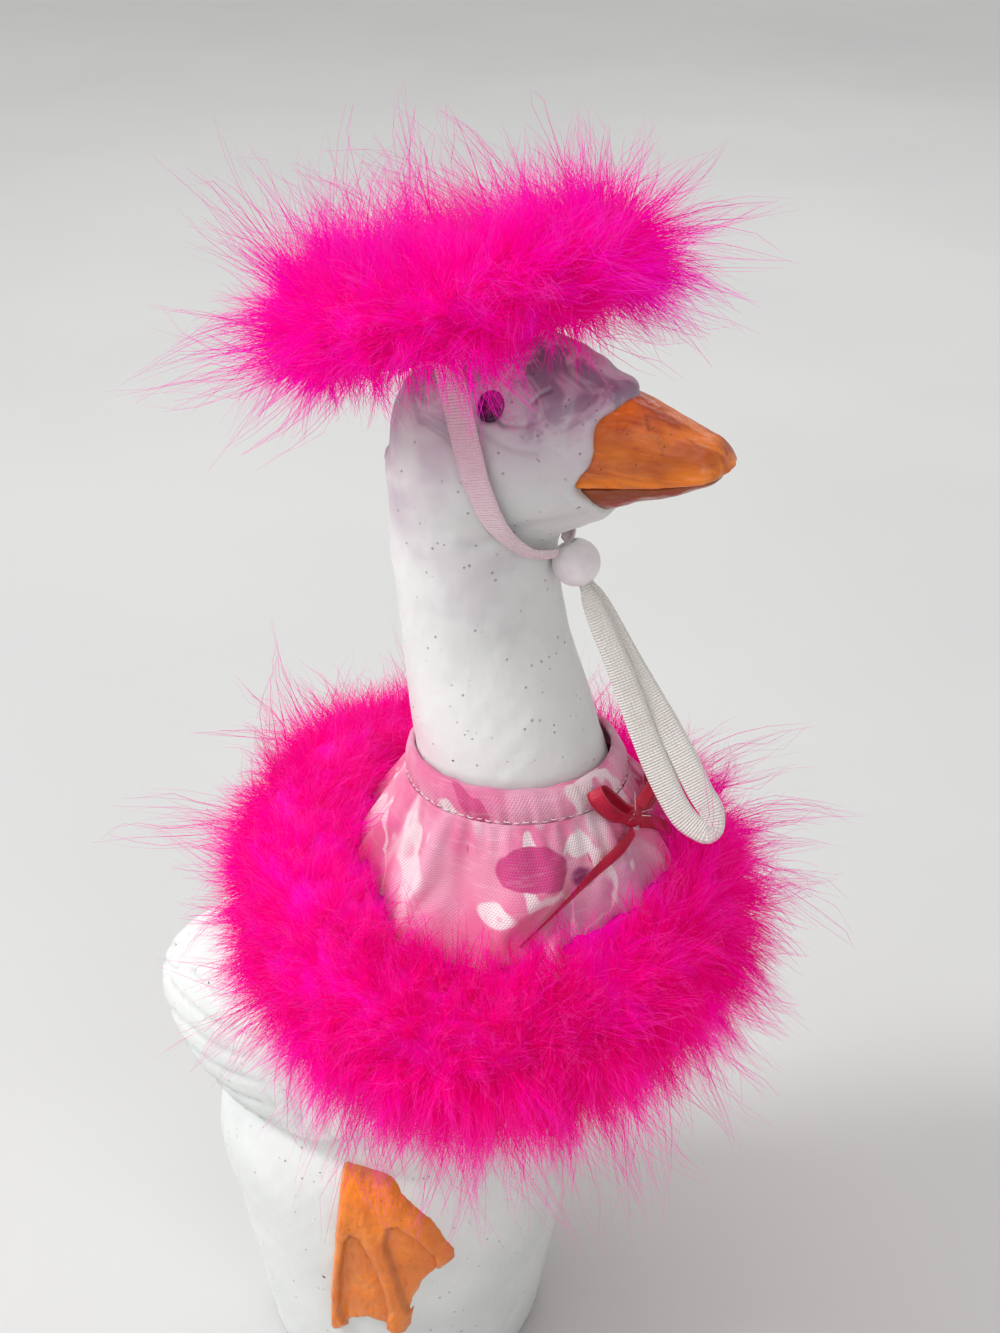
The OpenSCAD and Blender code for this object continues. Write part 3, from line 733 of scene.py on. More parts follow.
def knitted_elastic(name, hat_light_and_shade):
    """Flat ribbed elastic. u runs along it."""
    look = Look(name)
    u, v, _ = look.axes(look.uv)
    ribs = look.waves(u, 0.00068)
    wales = look.waves(v, 0.00085)
    fuzz = look.noise(1500, 3, 0.7)
    soiled = look.ramp(look.noise(60, 3, 0.5), 0.42, 0.7)
    white = look.mix(soiled, (0.93, 0.91, 0.86), (0.84, 0.81, 0.76))
    # Painted pink light from the hat, stronger towards the top.
    if hat_light_and_shade:
        tint = look.ramp(look.height_above_floor(), 0.243, 0.285)
        white = look.mix(look.plus(look.times(tint, 0.6), 0.25), (0.90, 0.79, 0.82),
                         (0.90, 0.50, 0.66))
    # Painted shade in the troughs between the ribs.
    white = look.mix(look.ramp(ribs, -1, 0.2, 0.25, 0), white, (0.60, 0.53, 0.50))
    height = look.plus(look.plus(ribs, look.times(wales, 0.5)), fuzz)
    look.set(Base_Color=white, Roughness=0.82, Normal=look.bump(height, 0.00016, 0.8), Sheen_Weight=0.2)
    return look.material


def silicone():
    look = Look("frosted silicone")
    mottle = look.noise(180, 3, 0.5)
    look.set(Base_Color=look.mix(look.ramp(mottle, 0.3, 0.7), (0.90, 0.86, 0.87), (0.80, 0.74, 0.77)),
             Roughness=look.ramp(mottle, 0.3, 0.7, 0.5, 0.62), Subsurface_Weight=0.4, Subsurface_Scale=0.003,
             Subsurface_Radius=(1.0, 0.75, 0.75), Normal=look.bump(look.noise(1400, 2, 0.6), 0.00008, 0.4))
    return look.material


def sewing_thread(name, colour, darker):
    look = Look(name)
    twist = look.node("TexWave", {"Vector": look.here, "Scale": 900.0, "Distortion": 1.5},
                      wave_type="BANDS").outputs["Fac"]
    # Darker in the grooves of the twist, as painted shade.
    look.set(Base_Color=look.mix(look.ramp(twist, 0.2, 0.8), darker, colour), Roughness=0.7, Sheen_Weight=0.2,
             Normal=look.bump(twist, 0.00006, 0.6))
    return look.material


def rod_steel():
    look = Look("plain steel rod")
    rust = look.ramp(look.noise(240, 4, 0.65), 0.5, 0.66)
    look.set(Base_Color=look.mix(rust, (0.28, 0.27, 0.26), (0.20, 0.085, 0.03)),
             Metallic=look.minus(1.0, rust), Roughness=look.ramp(rust, 0, 1, 0.4, 0.85),
             Normal=look.bump(look.noise(700, 3, 0.6), 0.0001, 0.5))
    return look.material


def pale_floor():
    look = Look("pale floor")
    tone = look.noise(3, 3, 0.5)
    grey = look.mix(look.ramp(tone, 0.3, 0.7), (0.62, 0.62, 0.61), (0.585, 0.59, 0.585))
    look.set(Base_Color=grey, Roughness=0.75,
             Normal=look.bump(look.noise(400, 3, 0.6), 0.0001, 0.3))
    return look.material


WHITE = painted_cement()
ORANGE = orange_paint("orange paint")
# The lower bill's paint, darkened as painted shade under the upper bill.
ORANGE_IN_PAINTED_SHADE = orange_paint("orange paint, lower bill in painted shade", 1.0)
ORANGE_FOOT = orange_paint("orange paint, feet", grain=(1, 1, 0.5), uneven=0.3)
EYE_PAINT = eye_paint()
HAT_DOWN = marabou("marabou of the hat", 0.16)
CAPE_DOWN = marabou("marabou of the cape", 0.08)
COTTON = print_cotton("print cotton of the cape", [
    ((0.0690, -0.0110, 0.1640), (0.0070, 0.0120, 0.0080), (0.66, 0.30, 0.46), 0.45),
    ((0.0600, -0.0280, 0.1610), (0.0060, 0.0060, 0.0050), (0.70, 0.30, 0.48), 0.40),
    ((0.0420, -0.0300, 0.1700), (0.0090, 0.0090, 0.0070), (0.88, 0.30, 0.46), 0.40),
], [
    ((0.0505, -0.0265, 0.1724), (0.0092, 0.0070, 0.0048), (0.60, 0.015, 0.19), 0.05),
    ((0.0610, -0.0212, 0.1697), (0.0032, 0.0040, 0.0030), (0.26, 0.015, 0.17), 0.14),
    ((0.0607, -0.0182, 0.1726), (0.0007, 0.0009, 0.0007), (0.01, 0.01, 0.01), 0.2),
    ((0.0455, -0.0335, 0.1632), (0.0056, 0.0045, 0.0028), (0.95, 0.88, 0.88), 0.10),
    ((0.0470, -0.0338, 0.1630), (0.0020, 0.0022, 0.0014), (0.90, 0.30, 0.48), 0.14),
    ((0.0583, -0.0180, 0.1757), (0.0028, 0.0040, 0.0026), (0.95, 0.88, 0.88), 0.14),
    ((0.0225, -0.0315, 0.1645), (0.0046, 0.0045, 0.0055), (0.95, 0.86, 0.88), 0.16),
])
HAT_COTTON = print_cotton("print cotton of the hat")
HAT_DOWN_CORE = marabou("marabou of the hat, dense part", 0.16, True)
CAPE_DOWN_CORE = marabou("marabou of the cape, dense part", 0.08, True)
SATIN = satin_ribbon()
STRAP_ELASTIC = knitted_elastic("knitted elastic, pink light from the hat painted on", True)
LOOP_ELASTIC = knitted_elastic("knitted elastic", False)
SILICONE = silicone()
WHITE_THREAD = sewing_thread("white thread", (0.86, 0.84, 0.80), (0.6, 0.57, 0.54))
CLOTH_THREAD = sewing_thread("pale pink thread", (0.93, 0.80, 0.83), (0.78, 0.60, 0.66))
PINK_THREAD = sewing_thread("pink cord", (0.9, 0.03, 0.3), (0.55, 0.0, 0.16))
STEEL = rod_steel()

FLOOR_HALF = 3000
floor_corners = FLOOR_HALF * np.array([[-1, -1, 0], [1, -1, 0], [1, 1, 0], [-1, 1, 0]], float)
floor = bpy.data.objects.new("floor", mesh_of("floor", floor_corners, [[0, 1, 2, 3]]))
SCENE.collection.objects.link(floor)
floor.data.materials.append(pale_floor())

# ---------------------------------------------------------------- the casting


def head_front(y, z):
    """Where the feathered edge of the face ends and the bill's paint starts."""
    edge = [(245, 56.0), (250, 57.0), (254.7, 56.6), (257, 55.4), (260.4, 53.2), (262.5, 53.9), (266, 56.2),
            (269, 56.9), (272, 56.4), (274.5, 56.4), (277, 57.6), (282, 58.0)]
    top = step_up(z, 273, 278) * np.maximum(1 - np.abs(y) / 11, 0) * 4.2
    return along(edge, z, 1) + top


def head_field(x, y, z):
    front = (x - head_front(y, z)) * 0.9
    return smooth_max(lying_field(HEAD, 2, x, y, z, 4), front, 1.0)


def casting_field(x, y, z):
    d = smooth_min(upright_field(PEDESTAL, 2.2, x, y, z, 2), lying_field(BODY, 2.5, x, y, z, 7), 2.2)
    d = smooth_min(d, upright_field(NECK, 2, x, y, z), 10)
    return smooth_min(d, head_field(x, y, z), 7)


def wing_height(p):
    """How far a wing stands out of the body, with its covert scallops and flight feather grooves."""
    x, y, z = p.T
    # Along the wing from its shoulder (0) to its tips (1), and across it.
    s = ((26 - x) * 86 + (118 - z) * 17) / (86**2 + 17**2)
    across = ((z - 118) * 86 - (26 - x) * -17) / math.hypot(86, 17)
    half = np.interp(s, [0, 0.12, 0.35, 0.6, 0.85, 1.02], [2, 17, 24, 21, 12, 0])
    inside = half - np.abs(across + 2 * np.sin(3 * s))
    rise = 2.1 * step_up(inside, 0, 2.4) * step_up(s, -0.03, 0.08)
    quills = np.abs(((across + 30 + 7 * s) / 6.5) % 1 - 0.5) * 2
    grooves = 0.9 * step_up(quills, 0.72, 1.0) * step_up(s, 0.42, 0.55) * step_up(inside, 0, 2)
    scallop = (s * 92 / 9 + 0.35 * np.abs(np.sin(across * math.pi / 9))) % 1
    coverts = 0.7 * step_up(scallop, 0.75, 1.0) * (1 - step_up(s, 0.42, 0.5)) * step_up(inside, 0, 2)
    coverts = coverts * step_up(s, 0.05, 0.1)
    side = step_up(np.abs(y), 6, 16)
    return (rise - grooves - coverts) * side


def tail_height(p):
    """Grooves between the tail feathers."""
    x, y, z = p.T
    turn = np.arctan2(z - 94, np.abs(y) + 1e-6)
    ridges = np.abs((turn / 0.52) % 1 - 0.5) * 2
    return -1.3 * step_up(ridges, 0.6, 1.0) * step_up(-x, 52, 62) - 0.5 * step_up(-x, 64, 70)


LID = [(32.2, 18.9, 275.9), (34.2, 19, 274.6), (37.3, 18.4, 274.9), (39.2, 18.4, 273.9), (43.2, 17.3, 274.2),
       (46.4, 15.8, 275.6)]
WRINKLES = [[(34.2, 19.7, 271.9), (38.3, 19.4, 270.4), (42.5, 18.7, 269.1), (46.1, 17.6, 268.8)],
            [(38.9, 18.6, 275.3), (41.2, 17.6, 276)],
            [(44.6, 14.7, 278.7), (45.3, 13.7, 280), (47, 12.1, 281)],
            [(49.4, 6, 284.6), (51.6, 9.4, 280.6), (52.2, 12.6, 276.5), (51.8, 14.6, 271)]]
# How wide and deep each wrinkle is in mm, and how dark its dirt and painted shade are.
WRINKLE_LOOKS = [(0.8, 0.35, 0.2), (0.5, 0.3, 0.8), (0.55, 0.45, 1.0), (1.3, 0.4, 0.15)]
JAW = [(30, 16.6, 243.6), (35, 16, 245.6), (41.1, 13.9, 249.6), (49.5, 11.7, 251.8), (54.4, 10, 253.6)]


def head_height(p):
    """The eyes' sockets, lids and wrinkles, and the raised rim round the bill. Also where it is darkened by
    dirt and by painted shade in its grooves.
    """
    x, y, z = p.T
    q = np.stack([x, np.abs(y), z], 1)
    near = z > 235
    up = np.zeros(len(p))
    worn = np.zeros(len(p))
    h = q[near]
    change = np.zeros(len(h))
    dirt_and_shade = np.zeros(len(h))
    away = np.linalg.norm(h - np.array(EYE), axis=1)
    change -= 0.55 * np.exp(-((away / 4.6) ** 4))
    change += 0.55 * bell(away, 5.3, 1.5) * step_up(h[:, 2], 276, 279)
    # Dirt and painted shade round the lower edge of the eye.
    dirt_and_shade += 0.9 * bell(away, 3.2, 0.45) * step_up(h[:, 2], 277, 275.5)
    reach, where = line_distance(LID, h)
    change -= 0.55 * bell(reach, 0, 0.5) * (1 - 0.7 * where)
    change += 0.5 * bell(reach, 1.3, 0.9) * step_up(-h[:, 2], -274.9, -273.8) * (1 - where)
    dirt_and_shade += bell(reach, 0, 0.5) * bell(where, 0.52, 0.22)
    for line, (wide, deep, dark) in zip(WRINKLES, WRINKLE_LOOKS):
        reach, _ = line_distance(line, h)
        change -= deep * bell(reach, 0, wide)
        dirt_and_shade += dark * np.exp(-((reach / (0.6 * wide)) ** 2))
    # The jaw's groove, with painted shade along it.
    reach, where = line_distance(JAW, h)
    change -= 0.5 * bell(reach, 0, 2.0)
    dirt_and_shade += 0.12 * bell(reach, 0, 2.0)
    # The rim of feathers against the bill: a soft roll with small nicks.
    rim = head_front(h[:, 1], h[:, 2]) - h[:, 0]
    nicks = 0.5 + 0.5 * np.sin(h[:, 2] * 2.1 + h[:, 1]) * np.sin(h[:, 2] * 0.9)
    change += 0.45 * bell(rim, 1.7, 1.5) * (0.6 + 0.4 * nicks)
    change -= 0.3 * bell(rim, 5.2, 2.0) * step_up(h[:, 2], 256, 262)
    up[near] = change
    worn[near] = np.clip(dirt_and_shade, 0, 1)
    return up, worn


def refine(mesh, inside):
    """Divides the faces whose middles are inside."""
    bm = bmesh.new()
    bm.from_mesh(mesh)
    chosen = [f for f in bm.faces if inside(f.calc_center_median() / MM)]
    edges = list({e for f in chosen for e in f.edges})
    bmesh.ops.subdivide_edges(bm, edges=edges, cuts=1, use_grid_fill=True)
    bm.to_mesh(mesh)
    bm.free()


def points_of(mesh):
    co = np.empty(len(mesh.vertices) * 3, np.float32)
    mesh.vertices.foreach_get("co", co)
    return co.reshape(-1, 3).astype(float) / MM


def move_points(mesh, points):
    mesh.vertices.foreach_set("co", (np.asarray(points) * MM).astype(np.float32).ravel())
    mesh.update()


def make_casting():
    points, faces = surface_net(casting_field, (-75, -50, -3), (72, 50, 294), 1.15)
    mesh = mesh_of("casting", onto(casting_field, points), faces)
    refine(mesh, lambda c: c.x > 22 and c.z > 246)
    refine(mesh, lambda c: c.x > 28 and c.z > 252 and c.y < 0)
    p = onto(casting_field, points_of(mesh), 2)
    normal, _ = gradient(casting_field, p)
    up, worn = head_height(p)
    up += wing_height(p) + tail_height(p)
    up += 0.22 * lumps(p, 26, 1) + 0.05 * lumps(p, 5, 2)
    # The foot of the base is chipped and rough.
    low = 1 - step_up(p[:, 2], 1, 9)
    up -= low * (0.5 + 0.6 * lumps(p, 7, 3)) * step_up(lumps(p, 18, 4), -0.4, 0.6)
    # It stands flat on the floor.
    p = p + normal * up[:, None]
    p[:, 2] = np.maximum(p[:, 2], 0)
    move_points(mesh, p)
    point_value(mesh, "worn", worn)
    return place("casting", mesh, "goose", WHITE, ["goose_casting"])


casting = make_casting()


# ---------------------------------------------------------------- bill, eyes and feet


def mouth_plane(x, z):
    """Height above the mouth line, which bows up a little towards the tip."""
    rise = (z - MOUTH[1]) * math.cos(MOUTH_SLOPE) - (x - MOUTH[0]) * math.sin(MOUTH_SLOPE)
    return rise + 0.6 * np.sin(np.clip((x - 57) / 27, 0, 1) * math.pi)


def bill_field(x, y, z):
    return lying_field(BILL, 2, x, y, z, 1.5)


def upper_field(x, y, z):
    over = mouth_plane(x, z)
    # The lip stands out over the lower bill, and the sides above it are a little hollow.
    lip = 0.8 * bell(over, 1.0, 1.0) - 0.4 * bell(over, 4.2, 1.9)
    return smooth_max(bill_field(x, y, z) - lip, 0.15 - over, 0.9)


def lower_field(x, y, z):
    return smooth_max(bill_field(x, y, z) + 1.3 - 0.8 * step_up(x, 80, 72), mouth_plane(x, z) + 0.2, 0.9)


SCRATCHES = [[(65.2, 4.1, 275.8), (66.4, 6, 274.6), (67, 6.9, 273.6)], [(69, 7.4, 272.3), (71, 8.8, 269.8)],
             [(67.2, 7.4, 272.6), (70.2, 7.8, 272.2)], [(80.3, 6.0, 268.0), (81.6, 5.2, 267.8)]]
# How wide each scratch is in mm, how worn it looks, and how far it stands up or is cut in.
SCRATCH_LOOKS = [(0.28, 1, -0.15), (0.3, 0.9, -0.15), (0.8, 0.25, 0.35), (0.3, 0.7, -0.1)]


def make_bill(name, field, look, node):
    points, faces = surface_net(field, (49, -15, 249), (87, 15, 283), 0.5)
    p = onto(field, points)
    normal, _ = gradient(field, p)
    q = p * (1, -1, 1)
    worn = np.zeros(len(p))
    up = 0.07 * lumps(p * (0.35, 1, 1), 2.6, 5) + 0.08 * lumps(p, 9, 6)
    for line, (wide, bare, rise) in zip(SCRATCHES, SCRATCH_LOOKS):
        reach, _ = line_distance(line, q)
        worn += bare * bell(reach, 0, wide) * (0.6 + 0.4 * lumps(p, 1.3, 7))
        up += rise * bell(reach, 0, wide)
    # Painted shadow of the face's raised rim on the base of the bill.
    rim = p[:, 0] - head_front(p[:, 1], p[:, 2])
    worn += 0.35 * bell(rim, 0, 0.7)
    p = p + normal * up[:, None]
    mesh = mesh_of(name, p, faces)
    point_value(mesh, "worn", np.clip(worn, 0, 1))
    return place(name, mesh, "goose", look, [node])


make_bill("bill_upper", upper_field, ORANGE, "upper_bill")
make_bill("bill_lower", lower_field, ORANGE_IN_PAINTED_SHADE, "lower_bill")


def make_eye(name, side, node):
    """A flat painted disc on the cheek, with a rounded edge."""
    turns, rings = 48, 10
    q = circle(turns)
    r = np.linspace(0.04, 1, rings)
    u, v = np.outer(r, np.cos(q)), np.outer(r, np.sin(q))
    p = np.stack([EYE[0] + EYE_R * u, np.full_like(u, side * EYE[1]), EYE[2] + EYE_R * v], -1).reshape(-1, 3)
    out = np.array([0, side, 0.0])
    for _ in range(6):
        p = p - out * head_field(*p.T)[:, None]
    dome = 0.12 - 0.55 * step_up(r, 0.8, 1.02)
    dome = np.repeat(dome, turns)
    normal, _ = gradient(head_field, p)
    front = p + normal * dome[:, None]
    back = front - out * 2.2
    points = np.concatenate([front, back])
    faces = grid_faces(rings, turns, wrap=True)
    n = rings * turns
    j = np.arange(turns)
    k = (j + 1) % turns
    edge = np.stack([(rings - 1) * turns + j, (rings - 1) * turns + k, n + (rings - 1) * turns + k,
                     n + (rings - 1) * turns + j], 1)
    half = np.arange(turns // 2 - 1)
    cap = np.stack([half, half + 1, turns - 2 - half, turns - 1 - half], 1)
    faces = np.concatenate([faces, edge, faces[:, ::-1] + n, cap[:, ::-1], cap + n])
    if side > 0:
        faces = faces[:, ::-1]
    return place(name, mesh_of(name, points, faces), "goose", EYE_PAINT, [node])


make_eye("eye_right", -1, "right_eye")
make_eye("eye_left", 1, "left_eye")

TOES = [[(10.7, 80), (7.5, 62), (4.2, 46), (1.6, 30), (0.2, 23)],
        [(11.5, 74), (14.6, 63), (17.4, 50), (18.9, 36), (18, 26.5)],
        [(12, 76), (20, 70.5), (27, 63), (31.6, 54)]]
WEBS = [[(7.6, 59), (9.4, 62.4), (11.6, 61.5), (14.2, 54), (16.4, 44), (16.9, 33.9), (15, 25), (4, 24),
         (2.6, 29), (5.2, 47)],
        [(17.6, 60), (18.7, 66), (21.2, 66.8), (25.5, 62.8), (29.4, 56.5), (29, 48), (23, 38), (21.4, 33),
         (20.6, 37), (19.4, 47.3)]]


def foot_rise(x, z):
    """How far the foot stands out of the base: toes as soft ridges, webs sunk between them."""
    edge = polygon_distance(FOOT, x, z)
    rise = FOOT_RELIEF * (0.3 + 0.95 * step_up(-edge, -0.2, 1.9))
    for web in WEBS:
        into = -polygon_distance(web, x, z)
        rise = rise - 1.75 * step_up(into, -0.35, 0.55) + 0.5 * step_up(into, 0.6, 3.4)
    flat = np.stack([np.ravel(x), np.ravel(z)], 1)
    for toe in TOES:
        reach, _ = line_distance(toe, flat)
        rise = rise + 0.4 * np.exp(-((reach.reshape(np.shape(x)) / 1.4) ** 2))
    return rise


def foot_field(x, y, z):
    base = upright_field(PEDESTAL, 2.2, x, y, z, 2)
    edge = polygon_distance(FOOT, x, z)
    return smooth_max(smooth_max(base - foot_rise(x, z), edge, 1.2), -base - 1.4, 0.3)


def make_foot(name, side, node):
    points, faces = surface_net(foot_field, (-3, -48, 18), (36, -28, 87), 0.5)
    p = onto(foot_field, points, 2)
    normal, _ = gradient(foot_field, p)
    p = p + normal * (0.06 * lumps(p, 5, 8) + 0.03 * lumps(p, 1.8, 9))[:, None]
    if side > 0:
        p[:, 1] *= -1
        faces = faces[:, ::-1]
    mesh = mesh_of(name, p, faces)
    # Painted shade along the foot's outline and the webs' edges, and at the top of the leg under the body's
    # overhang.
    hollow = 0.25 * np.exp(-((polygon_distance(FOOT, p[:, 0], p[:, 2]) / 0.5) ** 2))
    for web in WEBS:
        hollow = hollow + 0.42 * np.exp(-(((polygon_distance(web, p[:, 0], p[:, 2]) + 0.25) / 0.5) ** 2))
    hollow = hollow + 0.5 * step_up(p[:, 2], 76.5, 83)
    point_value(mesh, "worn", np.clip(hollow, 0, 1))
    return place(name, mesh, "goose", ORANGE_FOOT, [node])


make_foot("foot_right", -1, "right_foot")
make_foot("foot_left", 1, "left_foot")

# ---------------------------------------------------------------- marabou


def hat_place(p):
    """From the hat's own frame to the object's."""
    c, s = math.cos(HAT_TILT), math.sin(HAT_TILT)
    x, y, z = np.asarray(p, float).T
    return np.stack([x * c - z * s, y, x * s + z * c], 1) + HAT_AT


def hat_turn(v):
    return hat_place(v) - HAT_AT


def level_ways(q):
    return np.stack([np.cos(q), np.sin(q), np.zeros_like(q)], 1)


def hat_ring(q, sink=0.0):
    """Centre, outward and upward directions of the hat's boa at angles q, in the object's frame. sink is
    how far its left side lies lower."""
    out = level_ways(q)
    centre = out * HAT_RING_R
    centre[:, 2] += 1 - sink * np.maximum(np.cos(q - math.radians(80)), 0)
    return hat_place(centre), hat_turn(out), hat_turn(np.tile((0.0, 0, 1), (len(q), 1)))


HAT_SINK = 3.0


def hat_down_ring(q):
    return hat_ring(q, HAT_SINK)


RING_PITCH, RING_ROLL, RING_SAG = 3.6, 7.2, 8


def cape_ring(q, snug=1):
    """Centre, outward and upward directions of the cape's boa at angles q. With snug 1 it is the ring of the
    down, which sits in and up from the string's ring, against the cloth, most at the back right. With snug
    0 it is the string's ring."""
    out = level_ways(q)
    lift = -RING_PITCH * np.cos(q) + RING_ROLL * np.sin(q) - RING_SAG * np.sin(q) ** 2
    press = snug * 2.5 * np.maximum(np.cos(q - math.radians(205)), 0)
    centre = out * (RING_R - 4 * snug - press)[:, None] + RING_AT
    centre[:, 2] += lift + 3.5 * snug + 0.6 * press
    return centre, out, np.tile((0.0, 0, 1), (len(q), 1))


ROOM = [(np.array(CAD_BOX[0]) / MM, -1), (np.array(CAD_BOX[1]) / MM, 1)]
SIDE = (np.array(CAD_BOX[1]) - np.array(CAD_BOX[0])) / MM
MAY_PASS = 0.03 * SIDE + 7.5


def room_share(root, tip):
    """How much of the way from root to tip stays in the room round the object, its CAD bounds widened a
    little, from 0 to 1.
    """
    share = np.ones(len(root))
    for corner, sign in ROOM:
        wall = corner + sign * MAY_PASS
        step = sign * (tip - root)
        left = sign * (wall - root)
        share = np.minimum(share, np.where(step > left, left / np.maximum(step, 1e-6), 1).min(1))
    return np.clip(share, 0, 1)


def kept_in(p):
    """Presses what would pass the room's walls back to them."""
    for corner, sign in ROOM:
        wall = corner + sign * MAY_PASS
        over = sign * (p - wall)
        p = np.where(over > 0, wall + sign * np.minimum(0.25 * over, 2), p)
    return p


BARB_DROOP = 0.12     # how far a plume's tip sinks, as a share of its length


def barbs(name, root, way, length, rng, strands, spread, clump, width, body, paint, segments=5):
    """Plumes of fine tapered strips. Each plume's strands spread and, by its clump, meet at the tip."""
    n = len(root)
    aside = units(np.cross(way, rng.normal(size=(n, 3))))
    curl = rng.uniform(-0.5, 0.5, n)
    shade = np.clip(0.45 + 0.22 * lumps(root, 24, 11) + 0.14 * rng.normal(size=n), 0, 1)
    t = np.linspace(0, 1, segments + 1)
    reach = rng.uniform(0.45, 1, (n, strands))
    reach[:, 0] = 1
    s = t * reach[..., None]
    axis = (root[:, None, None] + length[:, None, None, None] * (
        way[:, None, None] * s[..., None] + aside[:, None, None] * (curl[:, None, None] * s**2)[..., None]))
    axis[..., 2] -= BARB_DROOP * length[:, None, None] * s**2
    off = rng.normal(size=(n, strands, 3))
    off -= (off * way[:, None]).sum(-1, keepdims=True) * way[:, None] * 0.7
    open_ = 0.35 + 1.7 * s
    shut = (0.35 + 1.9 * s) * (1 - s**1.4)
    c = clump[:, None, None]
    p = axis + off[:, :, None] * (spread * length[:, None, None] * ((1 - c) * open_ + c * shut))[..., None]
    wave = rng.normal(size=(n, strands, 3)) * (0.035 * length)[:, None, None]
    turns = rng.uniform(0.7, 1.8, (n, strands))[..., None]
    phase = rng.uniform(size=(n, strands))[..., None]
    p = p + wave[:, :, None] * (np.sin(2 * math.pi * (turns * t + phase)) * t)[..., None]
    p = kept_in(p)
    run = units(np.gradient(p, axis=2))
    flat = units(np.cross(run, rng.normal(size=(n, strands, 1, 3))))
    w = width * (1 - 0.8 * t**1.3) * rng.uniform(0.7, 1.3, (n, strands, 1))
    edge = flat * (w / 2)[..., None]
    both = np.stack([p - edge, p + edge], 3).reshape(-1, 3)
    strand = np.arange(n * strands)[:, None, None] * (segments + 1) * 2
    k = np.arange(segments)[None, :, None] * 2
    faces = (strand + k + np.array([0, 1, 3, 2])[None, None]).reshape(-1, 4)
    mesh = mesh_of(name, both, faces)
    point_value(mesh, "tip", np.repeat(np.broadcast_to(s, (n, strands, segments + 1)).ravel(), 2))
    each = np.clip(shade[:, None] + 0.12 * rng.normal(size=(n, strands)), 0, 1)
    point_value(mesh, "shade", np.repeat(each.ravel(), (segments + 1) * 2))
    return place(name, mesh, body, paint)


# Strips in a tuft of short down and in a long plume, how far they spread, and how wide each is.
DOWN_STRANDS, DOWN_SPREAD, DOWN_WIDTH = 6, 0.26, 0.18
PLUME_STRANDS, PLUME_SPREAD, PLUME_WIDTH = 16, 0.075, 0.16


def tufts(p, seed):
    """Which way the down leans at each point, alike between neighbours, so that it lies in tufts."""
    return np.stack([lumps(p, 15, 10 * seed + axis, 2) for axis in range(3)], 1)


def boa(name, ring, radius, body, seed, plumes, keep, node, look):
    """A boa round a ring: a lumpy dense part, short down over it, and long plumes in several pieces.
    keep says which points stay, as an array of True and False. In look, dense is the dense part's share
    of the radius, inward how much more it reaches in and up, reach the plumes' lengths, far the share of
    long wisps, upward how much plumes rise, extra more roots, as places and directions, paint the
    materials of the down and of the dense part, fuller the side where the boa is thicker, in degrees,
    and by what share, and extra_reach the extra plumes' share of the length."""
    rng = np.random.default_rng(seed)
    paint, core_paint = look["paint"]
    around, turns = 40, 150
    q = circle(turns)
    s = circle(around)

    def on_tube(q, s, share):
        centre, out, up = ring(q)
        normal = out * np.sin(s)[:, None] + up * np.cos(s)[:, None]
        inner = np.maximum(np.cos(s + math.pi / 4), 0) ** 2
        inner = look["dense"] + look["inward"] * inner
        side, more = look["fuller"]
        fuller = 1 + more * np.maximum(np.cos(q - math.radians(side)), 0)
        r = radius * np.asarray(share) * inner * fuller
        return centre + normal * r[..., None], normal

    Q, S = (a.ravel() for a in np.meshgrid(q, s, indexing="ij"))
    shape, _ = on_tube(Q, S, np.ones(len(Q)))
    core, normal = on_tube(Q, S, 1 + 0.10 * lumps(shape, 18, 21) + 0.05 * lumps(shape, 6, 22))
    core = keep(core, True)
    place(name + "_dense", mesh_of(name + "_dense", core, grid_faces_torus(turns, around)), body, core_paint,
          [node])

    def roots(count, low, high):
        q, s = rng.uniform(0, 2 * math.pi, (2, count))
        p, normal = on_tube(q, s, rng.uniform(low, high, count))
        good = keep(p, False)
        return p[good], normal[good]

    p, normal = roots(int(plumes * look["down"]), 0.85, 1.02)
    way = units(normal + 0.5 * rng.normal(size=p.shape) + 0.5 * tufts(p, seed))
    short = rng.uniform(0.3, 0.62, len(p)) * radius
    good = keep(p + way * short[:, None], False)
    barbs(name + "_down", p[good], way[good], short[good], rng, DOWN_STRANDS, DOWN_SPREAD,
          rng.uniform(0, 0.6, good.sum()), DOWN_WIDTH, body, paint, segments=3)
    p, normal = roots(plumes, 0.7, 1.0)
    extra, extra_way = look["extra"](rng)
    p, normal = np.concatenate([p, extra]), np.concatenate([normal, extra_way])
    way = units(normal + 0.24 * rng.normal(size=p.shape) + 0.42 * tufts(p, seed) + (0, 0, look["upward"]))
    far = rng.random(len(p)) < look["far"]
    reach = radius * rng.uniform(*look["reach"], len(p)) * np.where(far, rng.uniform(1.25, 2.3, len(p)), 1)
    reach[len(p) - len(extra):] *= look["extra_reach"]
    for share in (1, 0.75, 0.5):
        blocked = ~keep(p + way * (share * reach)[:, None], False)
        reach = np.where(blocked, reach * 0.7, reach)
    good = keep(p + way * (0.9 * reach)[:, None], False)
    p, way, reach, far = p[good], way[good], reach[good], far[good]
    reach = reach * room_share(p, p + way * reach[:, None] * 1.08)
    good = reach > 0.25 * radius
    p, way, reach, far = p[good], way[good], reach[good], far[good]
    clump = np.clip(rng.normal(0.6, 0.25, len(p)) + 0.4 * far, 0, 1)
    for i in range(look["pieces"]):
        part = slice(i, None, look["pieces"])
        barbs(f"{name}_plumes_{i + 1}", p[part], way[part], reach[part], rng, PLUME_STRANDS, PLUME_SPREAD,
              clump[part], PLUME_WIDTH, body, paint)


